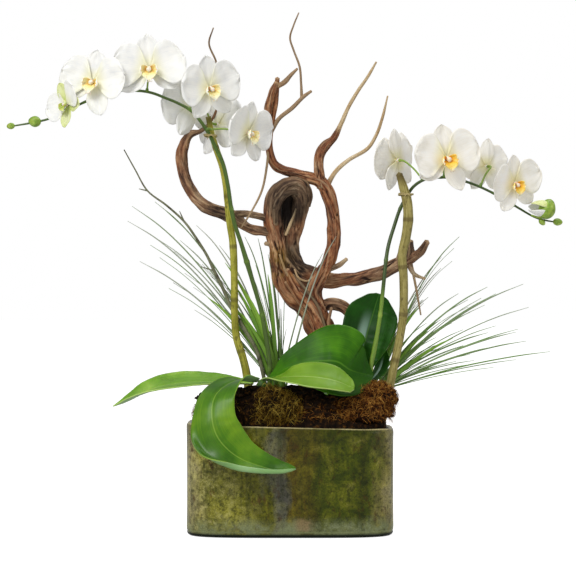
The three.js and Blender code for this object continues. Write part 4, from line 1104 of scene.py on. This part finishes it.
bloomPlans = {
    "left": [
        {"centre": (-294, -38, 569), "turn": -48, "tilt": 4, "roll": -25, "size": 0.68, "close": 0.55,
         "foot": (-303, -8, 562), "look": "young", "lower": (118, -160)},
        {"centre": (-261, -27, 599), "turn": -14, "tilt": 6, "roll": 6, "size": 0.98, "close": 0.1,
         "lower": (158, -112)},
        {"centre": (-187, -25, 617), "turn": 2, "tilt": 2, "roll": -4, "size": 1.04, "close": 0.05,
         "lower": (118, -120)},
        {"centre": (-132, 30, 574), "turn": -140, "tilt": 0, "roll": 10, "size": 1.0, "close": 0.2},
        {"centre": (-107, -28, 591), "turn": 31, "tilt": -4, "roll": -11, "size": 0.95, "close": 0.2},
        {"centre": (-98, 30, 548), "turn": 132, "tilt": -9, "roll": 7, "size": 0.94, "close": 0.25,
         "foot": (-128, -4, 559), "rise": 14},
        {"centre": (-56, -18, 533), "turn": 50, "tilt": -6, "roll": 4, "size": 0.92, "close": 0.2}],
    "right": [
        {"centre": (146, 36, 500), "turn": -128, "tilt": 4, "roll": 14, "size": 0.95, "close": 0.2,
         "foot": (178, -2, 471)},
        {"centre": (207, -27, 498), "turn": 20, "tilt": 0, "roll": -10, "size": 1, "close": 0.15,
         "lower": (160, -114)},
        {"centre": (266, 22, 491), "turn": -150, "tilt": 6, "roll": 0, "size": 0.82, "close": 0.2},
        {"centre": (298, -24, 465), "turn": 30, "tilt": -8, "roll": -14, "size": 0.84, "close": 0.3}],
}
budPlans = {  # centre, half length and half width, and which way the tip points
    "left": [((-341, -8, 549), (8.5, 7.5), (-1, 0, 0.1)), ((-373, -8, 543), (5.5, 4.4), (-1, 0, -0.1))],
    "right": [((358, -5, 415), (6.5, 5), (1, 0, -0.1)), ((296, -6, 439), (7, 5), (0.6, -0.2, 0.6)),
              ((337, -5, 415), (5.4, 4), (0.6, 0, -0.7))],
}
spikeColours = [(0.25, "2a3d0d"), (0.45, "4a6519"), (0.65, "6f8f2c"), (0.9, "a9bf55")]
budColours = [(0.3, "5d7f1c"), (0.55, "8fab3a"), (0.75, "b9cb6c")]


def bloomPlace(plan):
    side, rise = math.radians(plan["turn"]), math.radians(plan["tilt"])
    face = Vector((math.sin(side) * math.cos(rise), -math.cos(side) * math.cos(rise), math.sin(rise)))
    top = (up - face * up.dot(face)).normalized()
    right = top.cross(face)
    basis = Matrix((right, top, face)).transposed() @ Matrix.Rotation(math.radians(-plan["roll"]), 3, "Z")
    return Matrix.Translation(Vector(plan["centre"]) * mm) @ basis.to_4x4(), face


def makeSpikes(colours):
    green = newMaterial("spikeGreen", Roughness=0.42, Subsurface_Weight=0.05, Subsurface_Scale=0.002)
    streak = cloud(green, aroundPlace(green, (1.5, 1.5, 0.7)), 2, 5, 0.6)
    value = plus(green, tonesOf(green)["X"], times(green, streak, 0.4))
    drive(green, "Base Color", ramp(green, value, colours))
    bumps(green, streak, 0.3, 0.4)
    for side, route in spikeRoutes.items():
        shell = newShell()
        pale = (45, 165) if side == "right" else (0, 0)  # a paler stretch above the leaf

        def stem(turn, along, radius, pale=pale):
            light = 0.34 * smooth(along, pale[0], pale[0] + 30) * (1 - smooth(along, pale[1], pale[1] + 30))
            joint = sum(math.exp(-((along - at) / 2.6) ** 2) for at in range(75, 600, 74))
            return 1 + 0.2 * joint, (0.1 + light + 0.12 * joint + (0.1 if side == "left" else 0), 0, 0)
        addTube(shell, route, sides=14, step=3, shape=stem)
        line = splineThrough(route)
        spots = [line(i / 400) for i in range(200, 401)]
        for plan in bloomPlans[side]:
            _, face = bloomPlace(plan)
            back = Vector(plan["centre"]) - face * (3.8 * plan["size"] - 1)
            target = Vector(plan["foot"]) if "foot" in plan else back
            foot = min(spots, key=lambda spot: (spot - target).length)
            neck = back - face * 7
            knee = foot.lerp(neck, 0.5) + up * plan.get("rise", 3)
            addTube(shell, [[*foot, 1.3], [*knee, 1.25], [*neck, 1.35], [*back, 2.1]], sides=12, step=2.5,
                    tone=0.5)
            tip = foot + (knee - foot) * 0.25 + Vector((0, 0, 1))  # the small bract under each stalk
            addTube(shell, [[*foot, 2.6], [*(foot.lerp(tip, 0.5)), 2.2], [*tip, 1.4]], sides=10, step=2,
                    tone=0.35)
        shellPiece(shell, "spike" + side.title(), ["spike_" + side], [green])
        for number, bud in enumerate(budPlans[side], start=1):
            makeBud(f"bud{side.title()}{number}", *bud)


budGreen = newMaterial("budGreen", Roughness=0.45, Subsurface_Weight=0.15, Subsurface_Scale=0.003)
budPatch = cloud(budGreen, objectPlace(budGreen), 130, 4, 0.6)
drive(budGreen, "Base Color", ramp(budGreen, budPatch, budColours))
bumps(budGreen, budPatch, 0.4, 0.4)


def makeBud(name, centre, halves, way):
    # a plump bud with the seams of its three sepals, and a blunt point
    pick(None)
    bpy.ops.mesh.primitive_uv_sphere_add(segments=30, ring_count=18, radius=1)
    piece = bpy.context.object
    turn = Vector(way).normalized().to_track_quat("Z", "Y")
    long, wide = halves
    for vertex in piece.data.vertices:
        co = vertex.co.copy()
        angle = math.atan2(co.y, co.x)
        seam = 1 - 0.09 * math.exp(-(math.sin(1.5 * angle) / 0.25) ** 2) * (1 - abs(co.z)) ** 0.5
        taper = 1 - 0.16 * max(0, co.z)
        spot = Vector((co.x * wide * seam * taper, co.y * wide * seam * taper, co.z * long))
        vertex.co = (Vector(centre) + turn @ spot) * mm
    bpy.ops.object.shade_smooth()
    return settle(piece, name, (), [budGreen])


makeSpikes(spikeColours)
print("spikes and buds made")


# blooms

bloomLook = {
    "rows": 24, "columns": 22, "thickness": 0.5, "lipThickness": 0.8, "rootReach": 1.6,
    "petal": {"length": 46, "width": 60, "widest": 0.54, "claw": 0.1, "lift": 1.6, "cup": 0.1,
              "ruffle": 3.2, "point": 0.0},
    "sepal": {"length": 44, "width": 30, "widest": 0.5, "claw": 0.2, "lift": -1.4, "cup": 0.14,
              "ruffle": 1.8, "point": 0.35},
    "column": [[0, -0.3, -3.6, 1.9], [0, 0, -0.5, 4], [0, -0.2, 3, 3.3], [0, -1.1, 7, 3],
               [0, -1.8, 9.6, 3.3], [0, -2.1, 11.2, 2]],
    "callus": [[0, -3, 3.5, 1.6], [0, -4.6, 5.6, 1.9], [0, -5.8, 7, 1]],  # between the lip and the column
    "tendril": [[0.6, -16.6, 10.4, 0.6], [2.6, -18.2, 11.6, 0.45],
                [3.6, -16.6, 13.2, 0.3]],  # at the lip's tip
}


def bladeSurface(part, angle, bend, seed, scale):
    turn = math.radians(angle)
    out, across = Vector((math.sin(turn), math.cos(turn), 0)), Vector((math.cos(turn), -math.sin(turn), 0))
    twist = 0.10 * noise.noise(Vector((seed, 2, 8)))
    stretch = 1 + 0.05 * noise.noise(Vector((seed, 5, 1)))

    def surface(s, c):
        s = math.sin(s * math.pi / 2) ** 0.9  # rows gather towards the rounded tip
        if s < part["widest"]:
            wide = lerp(part["claw"], 1, math.sin(math.pi / 2 * s / part["widest"]) ** 1.25)
        else:
            beyond = (s - part["widest"]) / (1 - part["widest"])
            wide = max(0, 1 - beyond ** lerp(2.3, 1.7, part["point"])) ** lerp(0.55, 0.8, part["point"])
        half = part["width"] / 2 * wide
        edge = abs(c) ** 2
        forward = part["lift"] + bend * part["length"] * s * s + part["cup"] * half * c * c
        flutter = noise.noise(Vector((2.6 * s, 1.6 * c, seed)))
        crimp = noise.noise(Vector((6 * s, 3.5 * c, seed))) * max(edge, smooth(s, 0.6, 1))
        forward += part["ruffle"] * (flutter * s + 0.7 * crimp) + twist * half * c * 4 * s
        forward -= 0.9 * math.exp(-(c * 4) ** 2) * math.sin(math.pi * s)  # a soft fold down the middle
        reach = bloomLook["rootReach"] + part["length"] * s * stretch
        notch = 1 + 0.05 * noise.noise(Vector((4 * c, seed, 3 * s))) * smooth(s, 0.4, 1)
        return (out * reach * notch + across * half * c * notch + Vector((0, 0, forward))) * scale

    return surface


def lipSurface(kind, scale):
    # a front lobe that hangs forwards, and two side lobes that stand up beside the column
    def front(s, c):
        if s < 0.8:
            wide = lerp(2.6, 8.6, math.sin(math.pi * min(1, s * 1.2)) ** 0.9)
        else:
            wide = lerp(3.6, 0.6, (s - 0.8) / 0.2)
        y = -2 - 16 * s
        z = 4 + 11 * math.sin(math.pi * 0.55 * s) - 3 * s * s - 0.9 * math.exp(-(3 * c) ** 2)
        return Vector((c * wide, y, z + 0.05 * (c * wide) ** 2)) * scale

    def side(s, c):
        sign = 1 if kind == "right" else -1
        wide = 7.4 * math.sin(math.pi * (0.12 + 0.84 * s)) ** 0.7
        x = sign * (3 + 8.4 * math.sin(s * 1.9))
        y = -1.5 - 2.4 * s + c * wide * 0.9
        z = 4 + 10.5 * s + 0.06 * (c * wide) ** 2
        return Vector((x - sign * c * c * 1.8, y, z)) * scale

    return front if kind == "front" else side


def makePetalLook(name, shadow, body, glow, root):
    petal = newMaterial(name, Roughness=0.5, Subsurface_Weight=0.3, Subsurface_Scale=0.004,
                        Sheen_Weight=0.15, Sheen_Roughness=0.5)
    petal.node_tree.nodes["Principled BSDF"].inputs["Subsurface Radius"].default_value = (1, 0.95, 0.85)
    along = splitUp(petal, mapPlace(petal))["Y"]
    veins = cloud(petal, mapPlace(petal, (30, 2.2, 1)), 1.4, 4, 0.55)
    patch = cloud(petal, objectPlace(petal), 60, 3, 0.5)
    value = plus(petal, times(petal, veins, 0.45), times(petal, patch, 0.55))
    colour = ramp(petal, value, [(0.32, shadow), (0.5, body), (0.68, glow)])
    drive(petal, "Base Color", paintOver(petal, colour, (between(petal, along, 0.02, 0.3, 0.8, 0.0), root)))
    bumps(petal, veins, 0.35, 0.3)
    return petal


def makeLipLook(name, middle, outer, spots, rim):
    lip = newMaterial(name, Roughness=0.45, Subsurface_Weight=0.15, Subsurface_Scale=0.002)
    along = splitUp(lip, mapPlace(lip))["Y"]
    colour = ramp(lip, along, [(0.1, spots), (0.32, middle), (0.66, outer), (0.95, rim)])
    dots = cloud(lip, objectPlace(lip), 520, 3, 0.6)
    drive(lip, "Base Color", paintOver(lip, colour, (ramp(lip, dots, [(0.54, 0.0), (0.64, 0.6)]), spots)))
    bumps(lip, dots, 0.3, 0.4)
    return lip


def makeColumnLook():
    cream = newMaterial("columnCream", Roughness=0.4, Subsurface_Weight=0.25, Subsurface_Scale=0.002)
    tint = cloud(cream, objectPlace(cream), 300, 3, 0.5)
    drive(cream, "Base Color", ramp(cream, tint, [(0.35, "ecd9b4"), (0.5, "f3e8d2"), (0.65, "f6e6e2")]))
    bumps(cream, tint, 0.2, 0.4)
    return cream


whitePetal = makePetalLook("petalWhite", "e4e5e4", "f3f2ec", "fcfaf2", "eeebba")
creamPetal = makePetalLook("petalCream", "efe9d8", "fbf6ea", "fffdf6", "efe6a4")
youngSepal = makePetalLook("sepalYoung", "c3cd74", "d3dc90", "e6eaba", "a6b848")
columnLook = makeColumnLook()
bloomMaterials = {  # petals, sepals and lip
    "left": [whitePetal, whitePetal, makeLipLook("lipPale", "f4e79a", "faf4cc", "dfb45a", "fdf9ee")],
    "right": [creamPetal, creamPetal, makeLipLook("lipGold", "fbcd3c", "fce27c", "eca02c", "fdf5d2")],
    "young": [whitePetal, youngSepal, makeLipLook("lipGreen", "b0b83a", "cfd977", "8aa52e", "e2e6a4")],
}


def makeBloom(side, number, plan):
    look = bloomLook
    petalLook, sepalLook, lipLook = bloomMaterials[plan.get("look", side)]
    bend = 0.5 * plan["close"] - 0.04  # how far the blades close forwards
    scale = plan["size"]
    seed = 3.7 * number + (40 if side == "right" else 0)
    parts = []
    lowRight, lowLeft = plan.get("lower", (142, -142))
    for part, angle, curve in (
            ("sepal", 0, bend), ("sepal", lowRight, bend * 0.6), ("sepal", lowLeft, bend * 0.6),
            ("petal", 74, bend + 0.04), ("petal", -74, bend + 0.04)):
        piece = addGrid(look["columns"], look["rows"])
        surface = bladeSurface(look[part], angle, curve, seed + angle / 10, scale)
        shapeGrid(piece, surface, look["thickness"])
        piece.data.materials.append(petalLook if part == "petal" else sepalLook)
        parts.append(piece)
    for kind in ("front", "right", "left"):
        piece = addGrid(10, 12)
        shapeGrid(piece, lipSurface(kind, scale), look["lipThickness"])
        piece.data.materials.append(lipLook)
        parts.append(piece)
    column = newShell()
    addTube(column, look["column"], sides=16, step=1)
    addTube(column, look["callus"], sides=10, step=1)
    for sign in (-1, 1):
        addTube(column, [[sign * x, *rest] for x, *rest in look["tendril"]], sides=6, step=1)
    column["points"] = [point * scale for point in column["points"]]
    middle = shellMesh(column, "column")
    middle.data.materials.append(columnLook)
    piece = joinPieces([middle] + parts)
    place, _ = bloomPlace(plan)
    piece.data.transform(place)
    return settle(piece, f"bloom{side.title()}{number}", [f"bloom_{side}_{number}"])


for side, plans in bloomPlans.items():
    for number, plan in enumerate(plans, start=1):
        makeBloom(side, number, plan)
print("blooms made")


halfOpenLook = {
    "centre": (343, -12, 432), "halves": (14, 11.5), "sheathWay": (0.35, 0.1, 0.9),
    "petalWay": (-0.95, -0.1, 0.12), "petals": [(20, 1.0, 30), (150, 0.9, 27), (265, 1.1, 29)],
    "stalk": [[322, -5, 424, 1.3], [332, -7, 421, 1.4], [341, -11, 422, 2.4]],
}


def makeHalfOpenBud(look):
    # a green sheath at the right, and the first petals showing at the left
    makeBud("budHalfOpen", look["centre"], look["halves"], look["sheathWay"])
    centre = Vector(look["centre"])
    way = Vector(look["petalWay"]).normalized()
    one = way.cross(Vector((0, 1, 0))).normalized()
    two = way.cross(one)
    parts = []
    for angle, wide, reach in look["petals"]:
        piece = addGrid(12, 14)

        def surface(s, c, angle=angle, wide=wide, reach=reach):
            turn = math.radians(angle) + c * wide * math.sin(math.pi * (0.2 + 0.78 * s)) ** 0.8
            radius = 3 + 7.6 * math.sin(math.pi * (0.22 + 0.72 * s)) ** 0.9
            spot = centre + way * (reach * s - 4)
            return spot + (one * math.cos(turn) + two * math.sin(turn)) * radius
        shapeGrid(piece, surface, 0.7)
        piece.data.materials.append(youngSepal if angle == 150 else whitePetal)
        parts.append(piece)
    settle(joinPieces(parts), "budPetals", ["bud_right"])
    stalk = newShell()
    addTube(stalk, look["stalk"], sides=12, step=2)
    shellPiece(stalk, "budStalk", (), [budGreen])


makeHalfOpenBud(halfOpenLook)
print("half-open bud made")


# grass

grassLook = {
    "bladeWidth": 1.1, "clumpRadius": 9, "rootZ": 159, "rootGreen": "5f8c20",
    "colours": [(0.1, "7ba428"), (0.2, "5c8a20"), (0.36, "5f8238"), (0.58, "80906c"), (0.76, "949c88"),
                (0.92, "a39f8c")],
    "left": {"root": (-12, 24), "seed": 7, "tips": [
        (-217, 62, 439), (-224, 70, 419), (-206, 58, 363), (-184, 74, 395), (-151, 66, 392),
        (-129, 72, 413), (-187, 80, 446), (-97, 62, 385), (-62, 58, 397), (-44, 66, 395),
        (-30, 72, 373), (-22, 60, 334), (-15, 62, 288), (62, 6, 396), (44, 4, 373), (-110, 84, 343)],
        "broad": [(-88, 30, 361), (-77, 22, 333), (-84, 36, 311), (-58, 26, 318), (-112, 40, 314),
                  (-47, 28, 327), (-30, 34, 345), (-70, 20, 296)]},
    "right": {"root": (114, 40), "seed": 19, "tips": [
        (354, 40, 240), (324, 55, 254), (307, 30, 267), (328, 62, 300), (319, 50, 332), (301, 70, 324),
        (269, 42, 328), (231, 58, 319), (208, 66, 354), (207, 50, 369), (232, 54, 397), (220, 36, 279),
        (273, 72, 265), (284, 38, 248), (190, 62, 314), (250, 84, 293)],
        "broad": [(188, 44, 268), (205, 58, 282), (176, 50, 300), (222, 44, 258)]},
}


def seededDraw(seed):
    state = [seed]

    def draw():
        state[0] = (state[0] * 1664525 + 1013904223) % 4294967296
        return state[0] / 4294967296
    return draw


def arched(foot, end, lift, shares):
    # places on the way from foot to end, lifted into an arch
    return [foot + (end - foot) * share + up * (end.z - foot.z) * lift * share * (1 - share)
            for share in shares]


def makeGrassLook(look):
    blade = newMaterial("grassBlade", Roughness=0.5)
    streak = cloud(blade, aroundPlace(blade, (1, 1, 0.4)), 2, 4, 0.6)
    value = plus(blade, times(blade, tonesOf(blade)["X"], 0.7), times(blade, streak, 0.3))
    nearRoot = between(blade, splitUp(blade, objectPlace(blade))["Z"], 0.2, 0.33, 0.7, 0.0)
    drive(blade, "Base Color", paintOver(
        blade, ramp(blade, value, look["colours"]), (nearRoot, look["rootGreen"])))
    bumps(blade, streak, 0.2, 0.4)
    return blade


def makeGrass(look):
    blade = makeGrassLook(look)
    for side in ("left", "right"):
        plan = look[side]
        draw = seededDraw(plan["seed"])
        extra = random.Random(plan["seed"])
        x, y = plan["root"]
        shell = newShell()
        addTube(shell, [[x, y, look["rootZ"], 6], [x, y, 183, look["clumpRadius"]], [x, y, 205, 5]],
                sides=20, step=3,
                shape=lambda turn, along, radius: (1 + 0.1 * math.sin(9 * turn), (0.2, 0, 0)))
        for index, tip in enumerate(plan["tips"]):
            turn = 2.4 * index
            spread = look["clumpRadius"] * 0.6 * math.sqrt((index + 0.5) / len(plan["tips"]))
            foot = Vector((x + spread * math.cos(turn), y + spread * math.sin(turn), 185))
            rise = 0.5 + 0.1 * draw()
            width = look["bladeWidth"] * (0.85 + 0.3 * draw())
            copies = [(Vector(tip), rise, width)]
            for _ in range(2 if tip[1] > 10 else 0):  # thinner blades that keep it company
                aside = Vector((extra.uniform(-16, 16), extra.uniform(-8, 8), extra.uniform(-14, 14)))
                end = foot.lerp(Vector(tip) + aside, extra.uniform(0.6, 0.97))
                copies.append((end, rise + extra.uniform(-0.12, 0.08), width * extra.uniform(0.45, 0.75)))
            for end, lift, wide in copies:
                shares = (0.45, 0.8) if end.z < 300 else (0.2, 0.45, 0.65, 0.82)
                knees = arched(foot, end, lift, shares)
                route = [[*foot, wide]] + [[*knee, wide * (1 - 0.12 * i)] for i, knee in enumerate(knees)]
                tone = extra.uniform(0.2, 1)
                addTube(shell, route + [[*end, 0.3]], sides=6, step=9, flat=0.45, tone=tone)
        for index, tip in enumerate(plan["broad"]):
            turn = 1.7 * index
            foot = Vector((x + 6 * math.cos(turn), y + 6 * math.sin(turn), 180))
            end = Vector(tip)
            route = [foot, *arched(foot, end, 0.45, (0.3, 0.6, 0.85)), end]
            addTube(shell, [[*spot, wide] for spot, wide in zip(route, (2.6, 3, 2.6, 1.5, 0.3))],
                    sides=10, step=7, flat=0.3, tone=extra.uniform(-0.2, 0.05))
        shellPiece(shell, "grass" + side.title(), ["grass_" + side], [blade])


makeGrass(grassLook)
print("grass made")


# floor, light and camera

studioLook = {
    "pixelSize": 1.34, "distance": 2400, "middle": (-2.7, 328), "sensor": 36, "imageWidth": 576,
    "sky": 0.44, "floor": 0.62,
    "lights": {  # place in metres, size, and strength in watts
        "keyLight": ((-1.5, -2.3, 2.4), 1.3, 72), "topLight": ((0.6, 0.4, 2.6), 1.6, 26),
        "fillLight": ((2.2, -1.8, 1.0), 1.4, 10)},
}


def makeStudio(look):
    pick(None)
    bpy.ops.mesh.primitive_plane_add(size=30, location=(0, 0, -0.0005))
    floor = bpy.context.object
    floor.name = floor.data.name = "paperFloor"
    paper = newMaterial("floorPaper", Roughness=0.9, Specular_IOR_Level=0.1)
    shader = paper.node_tree.nodes["Principled BSDF"]
    shader.inputs["Base Color"].default_value = (look["floor"],) * 3 + (1,)
    shader.inputs["Emission Color"].default_value = (1, 1, 1, 1)
    seen = add(paper, "ShaderNodeLightPath").outputs["Is Camera Ray"]  # the paper is burnt out to white
    drive(paper, "Emission Strength", times(paper, seen, 0.85))
    floor.data.materials.append(paper)
    for name, (spot, size, power) in look["lights"].items():
        light = bpy.data.lights.new(name, "AREA")
        light.size, light.energy = size, power
        lamp = bpy.data.objects.new(name, light)
        bpy.context.scene.collection.objects.link(lamp)
        lamp.location = spot
        lamp.rotation_euler = (Vector((0, 0, 0.35)) - Vector(spot)).to_track_quat("-Z", "Y").to_euler()
    world = bpy.data.worlds.new("studio")
    world.use_nodes = True
    bpy.context.scene.world = world
    tree = world.node_tree
    seen = tree.nodes.new("ShaderNodeLightPath").outputs["Is Camera Ray"]
    strength = tree.nodes.new("ShaderNodeMapRange")
    tree.links.new(seen, strength.inputs["Value"])
    strength.inputs["To Min"].default_value = look["sky"]
    tree.links.new(strength.outputs[0], tree.nodes["Background"].inputs["Strength"])
    tree.nodes["Background"].inputs["Color"].default_value = (1, 1, 1, 1)
    bpy.context.scene.view_settings.view_transform = "Standard"
    camera = bpy.data.objects.new("camera", bpy.data.cameras.new("camera"))
    bpy.context.scene.collection.objects.link(camera)
    camera.location = Vector((look["middle"][0], -look["distance"], look["middle"][1])) * mm
    camera.rotation_euler = (math.radians(90), 0, 0)
    camera.data.sensor_width = look["sensor"]
    camera.data.lens = look["sensor"] * look["distance"] / (look["imageWidth"] * look["pixelSize"])
    bpy.context.scene.camera = camera


makeStudio(studioLook)
print("studio made")
